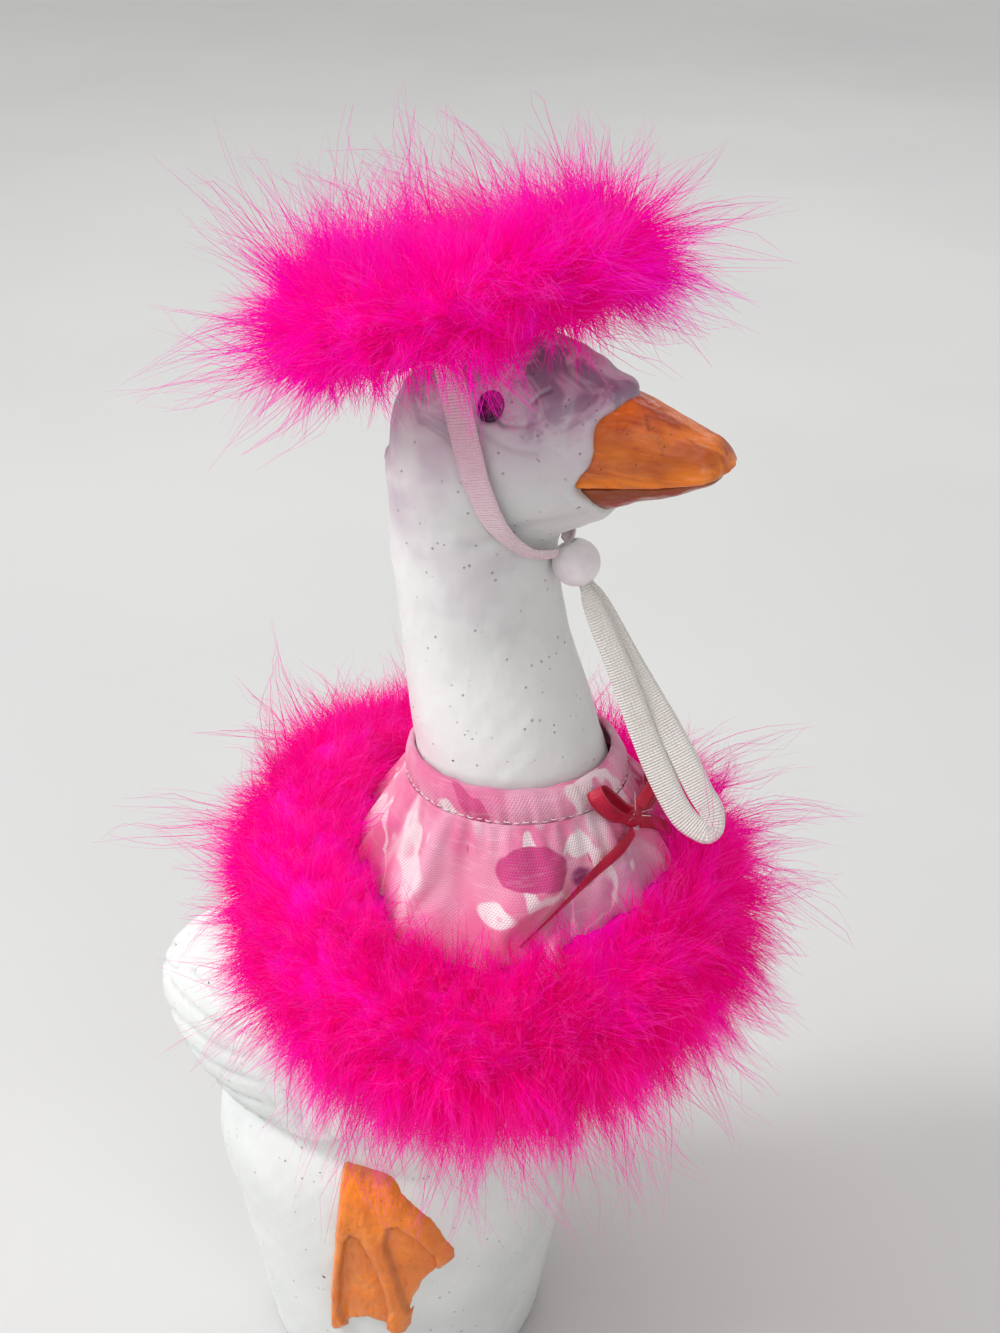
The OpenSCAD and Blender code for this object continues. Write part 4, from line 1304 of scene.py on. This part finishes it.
def grid_faces_torus(rows, columns):
    i, j = np.meshgrid(np.arange(rows), np.arange(columns), indexing="ij")
    a, b = (i + 1) % rows, (j + 1) % columns
    return np.stack([i * columns + j, i * columns + b, a * columns + b, a * columns + j], -1).reshape(-1, 4)


def hat_local(p):
    """From the object's frame to the hat's own."""
    c, s = math.cos(HAT_TILT), math.sin(HAT_TILT)
    x, y, z = (p - HAT_AT).T
    return np.stack([x * c + z * s, y, z * c - x * s], 1)


def keep_hat(p, as_core):
    """The hat's down stands on its cloth base. The dense part is flattened there instead."""
    local = hat_local(p)
    over_base = np.hypot(local[:, 0], local[:, 1]) < HAT_BASE_R + 0.5
    lowest = np.where(over_base, HAT_BASE_T - HAT_DROP + 0.1, -8.5)
    if as_core:
        local[:, 2] = np.maximum(local[:, 2], lowest)
        return hat_place(local)
    return local[:, 2] > np.where(over_base, lowest, -17)


def droop(y, below):
    """How far the cape sags at y, where it is below mm under the neckline."""
    return HEM_DROOP * below / (NECK_Z - HEM_Z) * ((y / 50) ** 2 - y / 50)


def cloth_distance(p):
    """Distance from the cape's cloth, where it is, negative inside it."""
    z = p[:, 2] + droop(p[:, 1], np.clip(NECK_Z - p[:, 2], 0, 45))
    cloth = ring_field(p[:, 0] - along(CAPE, z, 1), p[:, 1], along(CAPE, z, 2), along(CAPE, z, 3), 2)
    return np.where((z > 147) & (z < 182), cloth, 1e3)


def keep_cape(p, as_core):
    """The cape's down stays out of the goose, and out from under the cape's cloth."""
    if not as_core:
        return (casting_field(*p.T) > 1.2) & (cloth_distance(p) > 1.2)
    for _ in range(2):
        way, _ = gradient(casting_field, p)
        p = p + way * np.maximum(1.4 - casting_field(*p.T), 0)[:, None]
        out = units((p - RING_AT) * (1, 1, 0)) + (0, 0, 0.3)
        p = p + out * np.clip(1.0 - cloth_distance(p), 0, 6)[:, None]
    return p


DOWN_SHARE = 1
CROWN_REACH = 26     # how far from the hat's middle its top is covered


def crown_roots(rng):
    """Plumes on the top of the hat, which fill the middle of its ring."""
    count = int(900 * DOWN_SHARE)
    q, r = rng.uniform(0, 2 * math.pi, count), CROWN_REACH * np.sqrt(rng.uniform(0, 1, count))
    top = HAT_BASE_T - HAT_DROP + CROWN_H * np.sqrt(np.clip(1 - (r / CROWN_R) ** 2, 0, 1)) + 1
    p = np.stack([r * np.cos(q), r * np.sin(q), top], 1)
    way = np.stack([0.25 * np.cos(q) * r / CROWN_REACH, 0.25 * np.sin(q) * r / CROWN_REACH,
                    np.full(count, 0.9)], 1)
    return hat_place(p), hat_turn(way)


def cape_roots(rng):
    """More plumes on the cape's boa: on its inner side, where they lean in over the cloth, and under its
    front and right, where they hang down over the goose's breast and wing."""

    def group(q, s, low, high, lean_out, lean_up):
        centre, out, up = cape_ring(q)
        normal = out * np.sin(s)[:, None] + up * np.cos(s)[:, None]
        p = centre + normal * BOA_R * rng.uniform(low, high, len(q))[:, None]
        return p, normal + lean_out * out + lean_up * up

    inner, hanging = int(2200 * DOWN_SHARE), int(1000 * DOWN_SHARE)
    groups = [group(rng.uniform(0, 2 * math.pi, inner), rng.normal(-0.5, 0.4, inner), 0.6, 0.95, -0.45, 0.35),
              group(rng.normal(-0.9, 0.6, hanging), rng.uniform(1.5, 2.5, hanging), 0.5, 0.85, 0.35, -0.7)]
    return tuple(np.concatenate(parts) for parts in zip(*groups))


boa("hat_boa", hat_down_ring, HAT_BOA_R, "hat", 5, int(2100 * DOWN_SHARE), keep_hat, "hat_boa",
    {"dense": 0.56, "inward": 0.1, "down": 4, "reach": (0.85, 1.5), "far": 0.26, "upward": 0.14,
     "extra": crown_roots, "pieces": 2, "paint": (HAT_DOWN, HAT_DOWN_CORE),
     "fuller": (65, -0.3), "extra_reach": 0.5})
boa("cape_boa", cape_ring, BOA_R, "cape", 6, int(3600 * DOWN_SHARE), keep_cape, "cape_boa",
    {"dense": 0.64, "inward": 0.42, "down": 4.4, "reach": (0.6, 1.15), "far": 0.14, "upward": 0.2,
     "extra": cape_roots, "pieces": 4, "paint": (CAPE_DOWN, CAPE_DOWN_CORE),
     "fuller": (205, 0.34), "extra_reach": 1})

# ---------------------------------------------------------------- the hat's cloth


def lathe(name, profile, turns, wobble=None, place_=None):
    """Turns a closed profile of (radius, height) points about an upright line."""
    q = circle(turns)
    r, z = np.array(profile, float).T
    n = len(r)
    p = np.stack([np.outer(np.cos(q), r), np.outer(np.sin(q), r), np.broadcast_to(z, (turns, n))], -1)
    p = p.reshape(-1, 3)
    if wobble is not None:
        p = wobble(p, np.repeat(q, n))
    flat = p.copy()
    if place_ is not None:
        p = place_(p)
    faces = grid_faces_torus(turns, n)
    mesh = mesh_of(name, p, faces)
    return mesh, flat, faces


def hat_base_profile():
    edge = [(HAT_BASE_R + 0.5 * math.cos(a) - 0.6, -HAT_DROP + 1.25 + 1.2 * math.sin(a))
            for a in np.linspace(-math.pi / 2, math.pi / 2, 7)]
    low = [(r, -HAT_DROP + 0.05) for r in (0.05, 8, 16, 24, 29.5, 30.2, 31.6)]
    top = [(r, -HAT_DROP + HAT_BASE_T - 0.05) for r in (31.6, 28, 18, 8, 0.05)]
    return low + edge + top


def hat_base_wobble(p, q):
    r = np.hypot(p[:, 0], p[:, 1])
    rim = step_up(r, 20, 33)
    p = p.copy()
    p[:, :2] *= (1 + 0.006 * rim * np.sin(9 * q + 1.3))[:, None]
    p[:, 2] += 0.22 * rim * np.sin(7 * q) + 0.1 * rim * np.sin(23 * q + 2)
    # The hem's seam is pressed in, 3 mm from the edge.
    p[:, 2] += 0.3 * bell(r, 30.1, 0.5) * (p[:, 2] < -HAT_DROP + 1)
    return p


mesh, flat, faces = lathe("hat_base_cloth", hat_base_profile(), 160, hat_base_wobble, hat_place)
corner_uv(mesh, flat[:, :2], faces)
place("hat_base_cloth", mesh, "hat", HAT_COTTON, ["hat_base"])

DOME_Z = HAT_BASE_T - HAT_DROP
dome = [(CROWN_R * math.cos(a), DOME_Z + CROWN_H * math.sin(a)) for a in np.linspace(0, 1.5, 12)]
dome = [(0.05, DOME_Z)] + dome + [(0.05, DOME_Z + CROWN_H)]


def crown_wobble(p, q):
    r = np.hypot(p[:, 0], p[:, 1]) / CROWN_R
    pleats = 0.25 * np.sin(24 * q + np.sin(5 * q)) * step_up(r, 0.2, 0.9)
    return p + np.stack([np.cos(q) * pleats, np.sin(q) * pleats, 0.2 * np.sin(3 * q) * r], 1)


mesh, flat, faces = lathe("hat_crown_cloth", dome, 144, crown_wobble, hat_place)
corner_uv(mesh, flat[:, :2] * 1.1, faces)
place("hat_crown_cloth", mesh, "hat", HAT_COTTON, ["hat_crown"])

# ---------------------------------------------------------------- elastic and bead

CLOTH_GAP = 0.35     # how far the elastic and the casing stay off the goose


def out_of(field, mesh, gap):
    """Moves a mesh's points out to at least gap from a field's surface."""
    p = points_of(mesh)
    for _ in range(3):
        way, _ = gradient(field, p)
        p = p + way * np.maximum(gap - field(*p.T), 0)[:, None]
    move_points(mesh, p)


def strap(name, side, node):
    shares = [1, 1, 1, 1, 1, 0.85, 0.6, 0.45]
    rows = [(*r, w, *f) for r, w, f in zip(STRAP, shares, STRAP_FACE)]
    p, share, _ = curve_points(rows, 150)
    centre, width, face = p[:, :3], p[:, 3] * ELASTIC_W, p[:, 4:]
    roll = 0.1 + 1.15 * step_up(share, 0.42, 0.86)
    mesh = band_mesh(name, centre, face, width, 0.95 + 0.5 * step_up(share, 0.6, 0.9), roll, across_n=13)
    out_of(casting_field, mesh, CLOTH_GAP)
    if side < 0:
        points = points_of(mesh)
        points[:, 1] *= -1
        mesh.flip_normals()
        move_points(mesh, points)
    ob = place(name, mesh, None, STRAP_ELASTIC, [node])
    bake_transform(ob)
    return ob


strap("strap_right", -1, "chin_elastic_right")
strap("strap_left", 1, "chin_elastic_left")

LOOP_WAY = units(np.array(LOOP_END, float) - BEAD_AT)
LOOP_FACE = units(np.array((0.37, -0.8, 0.47)))
LOOP_FACE = units(LOOP_FACE - LOOP_WAY * (LOOP_FACE @ LOOP_WAY))
LOOP_SIDE = np.cross(LOOP_FACE, LOOP_WAY)


def loop_route():
    """One strand down from the bead, round the end, and the other back up: place, width and thickness.
    The strands lie one before the other at the bead and side by side further down."""
    rows = []
    down = [(-4.6, 0.55, 0.5, 2.2), (0, 0.55, 0.5, 2.2), (5.6, 0.6, 0.6, 2.4), (9, 0.75, 0.95, 4.1),
            (14, 0.95, 0.95, 5.0), (24, 1.3, 0.8, 5.6), (34, 2.0, 0.6, 6.0), (44, 2.8, 0.3, 6.2),
            (53, 3.15, 0.1, 6.3), (61, 3.2, 0.0, 6.0), (66, 3.0, 0.0, 5.8)]
    for s, a, o, w in down:
        rows.append((s, -a, o, w))
    for turn in (60, 100, 140):
        t = math.radians(turn)
        rows.append((67.8 + 2.9 * math.sin(t), -2.3 * math.cos(t), 0.25 * math.sin(t), 4.8))
    for s, a, o, w in down[::-1]:
        rows.append((s, a, -o, w))
    rows = np.array(rows)
    rows[:, 1] += 1.3 * step_up(rows[:, 0], 58, 71)
    centre = np.array(BEAD_AT) + rows[:, :1] * LOOP_WAY + rows[:, 1:2] * LOOP_SIDE + rows[:, 2:3] * LOOP_FACE
    return [(*c, w) for c, w in zip(centre, rows[:, 3])]


p, share, loop_length = curve_points(loop_route(), 260)
loop_path = p[:, :3]
loop_mesh = band_mesh("tail_loop", loop_path, LOOP_FACE, p[:, 3],
                      1.1 + 0.15 * np.sin(share * 40) * step_up(share, 0, 0.1), 0.12)
tail_loop = place("tail_loop", loop_mesh, "tail_loop", LOOP_ELASTIC, ["elastic_tail_loop"])


def bead_profile():
    """The bead's outline about its hole, with a rounded rim at each end."""
    edge = math.asin((BEAD_BORE + 0.35) / BEAD_R)
    ball = [(BEAD_R * math.sin(a), BEAD_R * math.cos(a)) for a in np.linspace(edge, math.pi - edge, 40)]
    top = BEAD_R * math.cos(edge)
    rim = [(BEAD_BORE + 0.05, -top - 0.02), (BEAD_BORE, -top + 0.3)]
    bore = [(BEAD_BORE, z) for z in np.linspace(-top + 0.8, top - 0.8, 6)]
    return ball + rim + bore + [(BEAD_BORE, top - 0.3), (BEAD_BORE + 0.05, top + 0.02)]


def on_loop(p):
    side = np.cross((0, 1.0, 0), LOOP_WAY)
    return p[:, :1] * side + p[:, 1:2] * np.array((0, 1.0, 0)) + p[:, 2:] * LOOP_WAY + BEAD_AT


mesh, _, _ = lathe("bead", bead_profile(), 96, None, on_loop)
mesh.flip_normals()
bead = place("bead", mesh, "bead", SILICONE, ["cord_bead"])

# ---------------------------------------------------------------- ribbon


RIBBON_POINTS, RIBBON_T = 90, 0.32


def ribbon(name, route, face, node, turn=0.0, wide=RIBBON_W):
    """A ribbon along a route. turn twists it, in radians, from start to end."""
    p, share, length = curve_points(route, RIBBON_POINTS)
    way = units(np.gradient(p, axis=0))
    base = face(p, way)
    side = units(np.cross(base, way))
    out = np.cross(way, side)
    angle = turn * step_up(share, 0.25, 1)
    out = out * np.cos(angle)[:, None] + side * np.sin(angle)[:, None]
    mesh = band_mesh(name, p, out, wide, RIBBON_T, 0.12, across_n=7)
    return place(name, mesh, "cape", SATIN, [node]), p, length


def across_of(way_across):
    return lambda p, way: np.cross(way, np.broadcast_to(np.array(way_across, float), way.shape))


def outward(p, way):
    return units(np.stack([p[:, 0] - 36, p[:, 1], np.full(len(p), 6.0)], 1))


ribbon("bow_right", BOW_RIGHT, across_of((0.77, 0.12, 0.62)), "ribbon_loop_right", wide=BOW_W)
ribbon("bow_left", BOW_LEFT, across_of((0.92, 0.22, -0.31)), "ribbon_loop_left")
tail, tail_path, tail_length = ribbon("ribbon_tail_long", TAIL_RIGHT, outward, "ribbon_tail_right", 1.1)
ribbon("ribbon_tail_short", TAIL_LEFT, outward, "ribbon_tail_left", 0.4)


def make_knot():
    """The ribbon wrapped on itself: a small lump with two folds round it."""
    rows, turns = 30, 40
    u = np.linspace(0.03, math.pi - 0.03, rows)
    q = circle(turns)
    U, Q = np.meshgrid(u, q, indexing="ij")
    wrap = 1 + 0.10 * np.cos(3 * U + 0.8 * np.sin(Q)) + 0.05 * np.cos(2 * Q + 4 * U)
    p = np.stack([2.5 * np.sin(U) * np.cos(Q) * wrap, 2.4 * np.cos(U) * wrap,
                  2.6 * np.sin(U) * np.sin(Q) * wrap], -1).reshape(-1, 3) + KNOT_AT
    faces = grid_faces(rows, turns, wrap=True)
    half = np.arange(turns // 2 - 1)
    cap = np.stack([half, half + 1, turns - 2 - half, turns - 1 - half], 1)
    faces = np.concatenate([faces, cap[:, ::-1], cap + (rows - 1) * turns])
    mesh = mesh_of("ribbon_knot_wrapped", p, faces)
    corner_uv(mesh, np.stack([U.ravel() * 2, (Q.ravel() - math.pi) * 0.8], 1), faces)
    return place("ribbon_knot_wrapped", mesh, "cape", SATIN, ["ribbon_knot"])


make_knot()


def thread_mesh(name, lines, radius):
    """Thin round threads along several lines, as one mesh."""
    points, faces = [], []
    start = 0
    ring = 6
    a = circle(ring)
    for line in lines:
        p, _, _ = curve_points(line, 24)
        way = units(np.gradient(p, axis=0))
        side = units(np.cross(way, (0.3, 0.5, 0.81)))
        up = np.cross(way, side)
        r = radius * (1 - 0.5 * np.linspace(0, 1, len(p)) ** 4)
        out = side[:, None] * np.cos(a)[None, :, None] + up[:, None] * np.sin(a)[None, :, None]
        tube = p[:, None] + r[:, None, None] * out
        f = grid_faces(len(p), ring, wrap=True)
        cap = np.array([[0, 1, 2, 3], [0, 3, 4, 5]])
        faces.append(np.concatenate([f[:, ::-1], cap, cap[:, ::-1] + (len(p) - 1) * ring]) + start)
        points.append(tube.reshape(-1, 3))
        start += len(p) * ring
    return mesh_of(name, np.concatenate(points), np.concatenate(faces))


rng = np.random.default_rng(9)
frayed = []
for _ in range(9):
    start = np.array(KNOT_AT) + rng.normal(size=3) * (0.6, 1.0, 0.8) + (0.6, 0, 1.2)
    way = units(rng.normal(size=3) * (0.5, 1.0, 0.6) + (0.45, 0.1, 0.5))
    bend = rng.normal(size=3) * 1.6
    reach = rng.uniform(3, 7)
    frayed.append([start, start + way * reach * 0.5 + bend * 0.5, start + way * reach + bend])
place("frayed_threads", thread_mesh("frayed_threads", frayed, 0.09), "cape", WHITE_THREAD)

# ---------------------------------------------------------------- the cape's cloth


def hang(p):
    """The cape's rings, drooping at the sides."""
    p = np.array(p, float)
    p[:, 2] -= droop(p[:, 1], NECK_Z - p[:, 2])
    return p


PANEL_FLAT = (320, 44)     # the cotton's width round the neck before it is gathered, and its depth
PANEL_TOP_Z, PANEL_DROP = 181.6, 35.6
CLOTH_FRAMES = 14
SEAM_Z = 182

# Where the cloth bellies or sinks: angle round the neck and its spread in degrees, share of the way
# down and its spread, and millimetres out.
FOLDS = [(-66, 17, 0.34, 0.2, 3.4), (-62, 20, 0.62, 0.12, -1.6), (-22, 20, 0.2, 0.1, 0.5),
         (-28, 22, 0.42, 0.1, -1.2), (-95, 12, 0.6, 0.3, -2.0), (-120, 16, 0.4, 0.3, 2.4),
         (2, 6, 0.5, 0.4, 1.3), (14, 5, 0.5, 0.4, -1.0), (30, 9, 0.45, 0.4, 1.8), (52, 9, 0.5, 0.3, -1.2),
         (75, 13, 0.4, 0.3, 2.2), (105, 12, 0.55, 0.3, -1.4), (135, 14, 0.4, 0.35, 2.2),
         (170, 16, 0.45, 0.3, 1.9), (-150, 10, 0.5, 0.3, -1.3), (-42, 7, 0.75, 0.2, 1.0)]


def panel_shape(rows, columns):
    """The cape's panel as it is before it is simulated: a few broad folds below fine gathers."""
    q = circle(columns)
    Q, V = np.meshgrid(q, np.linspace(0, 1, rows), indexing="ij")
    Z = PANEL_TOP_Z - PANEL_DROP * V
    cx, a, b = (along(CAPE, np.ravel(Z), i).reshape(Z.shape) for i in (1, 2, 3))
    fade = step_up(-V, -0.9, -0.62)
    r = 0.9 + 0.3 * np.sin(44 * Q + np.sin(5 * Q)) * np.exp(-((V / 0.12) ** 2))
    for turn, turn_spread, way_down, spread, out in FOLDS:
        off = (np.degrees(Q) - turn + 180) % 360 - 180
        slant = V - way_down + 0.004 * off
        r = r + out * np.exp(-((off / turn_spread) ** 2) - (slant / spread) ** 2) * fade
    r = r * step_up(V, -0.05, 0.12)
    r = r + 0.35 * np.sin(21 * Q + 2) * step_up(V, 0.1, 0.4) * step_up(-V, -0.9, -0.5)
    # The hem lies under the boa.
    r = r - 1.6 * step_up(V, 0.72, 1)
    p = np.stack([cx + (a + r) * np.cos(Q), (b + r) * np.sin(Q), Z], -1).reshape(-1, 3)
    uv = np.stack([Q * PANEL_FLAT[0] / (2 * math.pi), -V * PANEL_FLAT[1]], -1).reshape(-1, 2)
    return hang(p), uv, V.ravel()


def wrapped_uv(mesh, uv, faces, around):
    """Cloth coordinates in mm for a ring of cloth, which start again after one way round."""
    corners = uv[faces.ravel()].reshape(-1, 4, 2)
    u = corners[..., 0]
    crosses = (u.max(1) - u.min(1) > around / 2)[:, None]
    corners[..., 0] = np.where(crosses & (u < around / 2), u + around, u)
    mesh.uv_layers.new(name="cloth").data.foreach_set("uv", (corners * MM).ravel())


def simulate(ob, pinned, frames):
    """Lets the cloth settle into folds over the casting, in a copy ten times the size."""
    scale = 10
    ob.data.transform(Matrix.Scale(scale, 4))
    solid = bpy.data.objects.new("cloth_stop", casting.data.copy())
    SCENE.collection.objects.link(solid)
    solid.data.transform(Matrix.Scale(scale, 4))
    thin = solid.modifiers.new("thin", "DECIMATE")
    thin.ratio = 0.12
    solid.modifiers.new("stop", "COLLISION")
    solid.collision.thickness_outer = 0.006
    solid.collision.cloth_friction = 12
    group = ob.vertex_groups.new(name="pinned")
    for weight in np.unique(pinned):
        if weight > 0:
            group.add(np.nonzero(pinned == weight)[0].tolist(), float(weight), "REPLACE")
    cloth = ob.modifiers.new("cloth", "CLOTH")
    s = cloth.settings
    s.quality = 5
    s.mass = 0.12
    s.tension_stiffness = s.compression_stiffness = 14
    s.shear_stiffness = 4
    s.bending_stiffness = 6
    s.air_damping = 3
    s.vertex_group_mass = "pinned"
    s.shrink_min = -0.05
    s.effector_weights.gravity = 0.5
    cloth.collision_settings.distance_min = 0.008
    cloth.point_cache.frame_start, cloth.point_cache.frame_end = 1, frames
    for frame_number in range(1, frames + 1):
        SCENE.frame_set(frame_number)
    settled = bpy.data.meshes.new_from_object(ob.evaluated_get(bpy.context.evaluated_depsgraph_get()))
    points = points_of(settled) / scale
    ob.modifiers.remove(cloth)
    ob.vertex_groups.clear()
    ob.data.transform(Matrix.Scale(1 / scale, 4))
    move_points(ob.data, points)
    bpy.data.objects.remove(solid)
    bpy.data.meshes.remove(settled)
    SCENE.frame_set(1)


def press_under(p, path, gap, wide):
    """Presses cloth points back, so that they pass at least gap behind a ribbon's path."""
    out = outward(path, None)
    nearest = np.linalg.norm(p[:, None] - path[None], axis=2).argmin(1)
    off = p - path[nearest]
    over = (off * out[nearest]).sum(1)
    aside = np.linalg.norm(off - out[nearest] * over[:, None], axis=1)
    move = np.maximum(over + gap, 0) * step_up(-aside, -wide, -0.5 * wide)
    return p - out[nearest] * move[:, None]


rows, columns = 34, 220
points, uv, down = panel_shape(rows, columns)
faces = grid_faces_torus(columns, rows)
faces = faces[(faces % rows)[:, 0] < rows - 1]
faces = faces[np.abs((faces % rows)[:, 0] - (faces % rows)[:, 1]) == 1][:, ::-1]
panel_mesh = mesh_of("cape_cloth", points, faces)
wrapped_uv(panel_mesh, uv, faces, PANEL_FLAT[0])
panel = bpy.data.objects.new("cape_cloth", panel_mesh)
SCENE.collection.objects.link(panel)
simulate(panel, np.where((down < 0.03) | (down > 0.97), 1.0, 0.0), CLOTH_FRAMES)
move_points(panel_mesh, press_under(points_of(panel_mesh), tail_path, 0.9, 5))

solid = panel.modifiers.new("thick", "SOLIDIFY")
solid.thickness = 0.0005
solid.offset = 0
fine = panel.modifiers.new("smooth", "SUBSURF")
fine.levels = fine.render_levels = 1
final = bpy.data.meshes.new_from_object(panel.evaluated_get(bpy.context.evaluated_depsgraph_get()))
bpy.data.objects.remove(panel)
final.name = "cape_cloth"
final.polygons.foreach_set("use_smooth", np.full(len(final.polygons), True))
panel = place("cape_cloth", final, "cape", COTTON, ["cape_panel"])


def casing_profile():
    """The folded casing from its seam up, over the top and down inside: (share of the way in, height)."""
    outer = [(0, z) for z in (180.4, 181.3, 182, 182.7, 183.6, 184.6, 185.6, 186.6, 187.5)]
    top = [(0.12, 188.1), (0.45, 188.45), (0.85, 188.2)]
    inner = [(1, z) for z in (187.4, 185.5, 183.5, 182, 180.4)]
    return outer + top + inner


CAPE_WAY, CAPE_TRAVEL = np.array((-0.16, 0, 0.98712)), 12


def lifted_field(x, y, z):
    """Distance from the goose as the cape meets it anywhere along its lift."""
    p = np.stack([x, y, z], -1)
    lifts = np.linspace(0, CAPE_TRAVEL, 5)
    return np.min([casting_field(*(p + CAPE_WAY * lift).T) for lift in lifts], axis=0)


def make_casing():
    """The casing, gathered by its seam and by the ribbon inside."""
    turns = 720
    profile = np.array(casing_profile(), float)
    q = circle(turns)
    Q, K = np.meshgrid(q, np.arange(len(profile)), indexing="ij")
    way_in, Z = profile[K, 0], profile[K, 1]
    cx, a, b = (along(CASING, np.ravel(Z), i).reshape(Z.shape) for i in (1, 2, 3))
    gather = np.sin(38 * Q + 1.6 * np.sin(3 * Q) + 0.5) * 0.30 + np.sin(61 * Q + 2 * np.sin(2 * Q)) * 0.16
    gather = gather * (0.25 + 0.5 * bell(Z, SEAM_Z, 1.8))
    seam = -0.14 * bell(Z, SEAM_Z, 0.5) * (way_in < 0.5)
    full = 0.2 * bell(Z, 185, 2.0) * (way_in < 0.5)
    r = gather * (1 - 0.7 * way_in) + seam + full - 1.9 * way_in
    p = np.stack([cx + (a + r) * np.cos(Q), (b + r) * np.sin(Q), Z + 0.15 * np.sin(17 * Q)], -1)
    p = hang(p.reshape(-1, 3))
    faces = grid_faces_torus(turns, len(profile))
    mesh = mesh_of("cape_casing_cloth", p, faces)
    uv = np.stack([Q * 28 + 6, Z - PANEL_TOP_Z + way_in * 7.5], -1).reshape(-1, 2)
    wrapped_uv(mesh, uv, faces, 28 * 2 * math.pi)
    out_of(lifted_field, mesh, CLOTH_GAP)
    return place("cape_casing_cloth", mesh, "cape", COTTON, ["cape_casing"])


casing = make_casing()


def casing_point(q, z, proud):
    """A point at angle q and height z, proud mm out from the casing."""
    p = np.array([[along(CASING, z, 1) + (along(CASING, z, 2) + proud) * math.cos(q),
                   (along(CASING, z, 3) + proud) * math.sin(q), z]])
    return hang(p)[0]


stitches = []
STITCHES = 76
for i in range(STITCHES):
    q = 2 * math.pi * i / STITCHES
    half = 0.026 + 0.003 * math.sin(7 * i)
    rise = 0.12 * math.sin(2.3 * i)
    stitches.append([casing_point(q + half * share, SEAM_Z + rise, proud)
                     for share, proud in ((-1, -0.25), (-0.6, 0.12), (0.6, 0.12), (1, -0.25))])
mesh = thread_mesh("casing_stitching", stitches, 0.15)
place("casing_stitching", mesh, "cape", CLOTH_THREAD, ["casing_stitches"])

# ---------------------------------------------------------------- strings, drawstring and tacks

STRING_D = 3.0


def twisted_string(name, ring, twists, body, node):
    """A two-ply string closed into a ring, which carries a boa's plumes."""
    turns, around = 420, 14
    q = circle(turns)
    s = circle(around)
    centre, out, up = ring(q)
    Q, S = np.meshgrid(q, s, indexing="ij")
    r = STRING_D / 2 * (0.66 + 0.32 * np.abs(np.cos(S - twists * Q)))
    p = centre[:, None] + out[:, None] * (r * np.sin(S))[..., None] + up[:, None] * (r * np.cos(S))[..., None]
    mesh = mesh_of(name, p.reshape(-1, 3), grid_faces_torus(turns, around)[:, ::-1])
    return place(name, mesh, body, PINK_THREAD, [node])


twisted_string("hat_string", hat_ring, 24, "hat", "hat_boa_core")
twisted_string("cape_string", lambda q: cape_ring(q, 0), 40, "cape", "cape_boa_core")

DRAWSTRING_R, DRAWSTRING_Z = 24.85, 184.3
q = circle(300)
gathers = 0.12 * np.sin(38 * q + 1.6 * np.sin(3 * q))
centre = np.stack([along(CASING, DRAWSTRING_Z, 1) + (DRAWSTRING_R + gathers) * np.cos(q),
                   (DRAWSTRING_R - 0.7 + gathers) * np.sin(q), np.full(300, DRAWSTRING_Z)], 1)
mesh = band_mesh("drawstring", hang(centre), level_ways(q), RIBBON_W, RIBBON_T, closed=True, across_n=7)
place("drawstring", mesh, "cape", SATIN, ["drawstring_ribbon"])

# Crossed threads that tack the elastic under the hat's base.
tacks = []
for side in (-1, 1):
    for x in (4.8, 6.8, 8.8):
        for slant in (-0.6, 0.6):
            low = -HAT_DROP - 0.75
            line = [(x - slant, side * 23.4, -HAT_DROP), (x - slant * 0.6, side * 23.6, low),
                    (x + slant * 0.6, side * 24.8, low), (x + slant, side * 25.0, -HAT_DROP)]
            tacks.append(hat_place(line))
mesh = thread_mesh("strap_tacks", tacks, 0.2)
place("strap_tacks", mesh, "hat", WHITE_THREAD, ["strap_stitches"])

# ---------------------------------------------------------------- the rod, which stays as it is

neck_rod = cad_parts["neck_rod"]
neck_rod.data.materials.clear()
neck_rod.data.materials.append(STEEL)
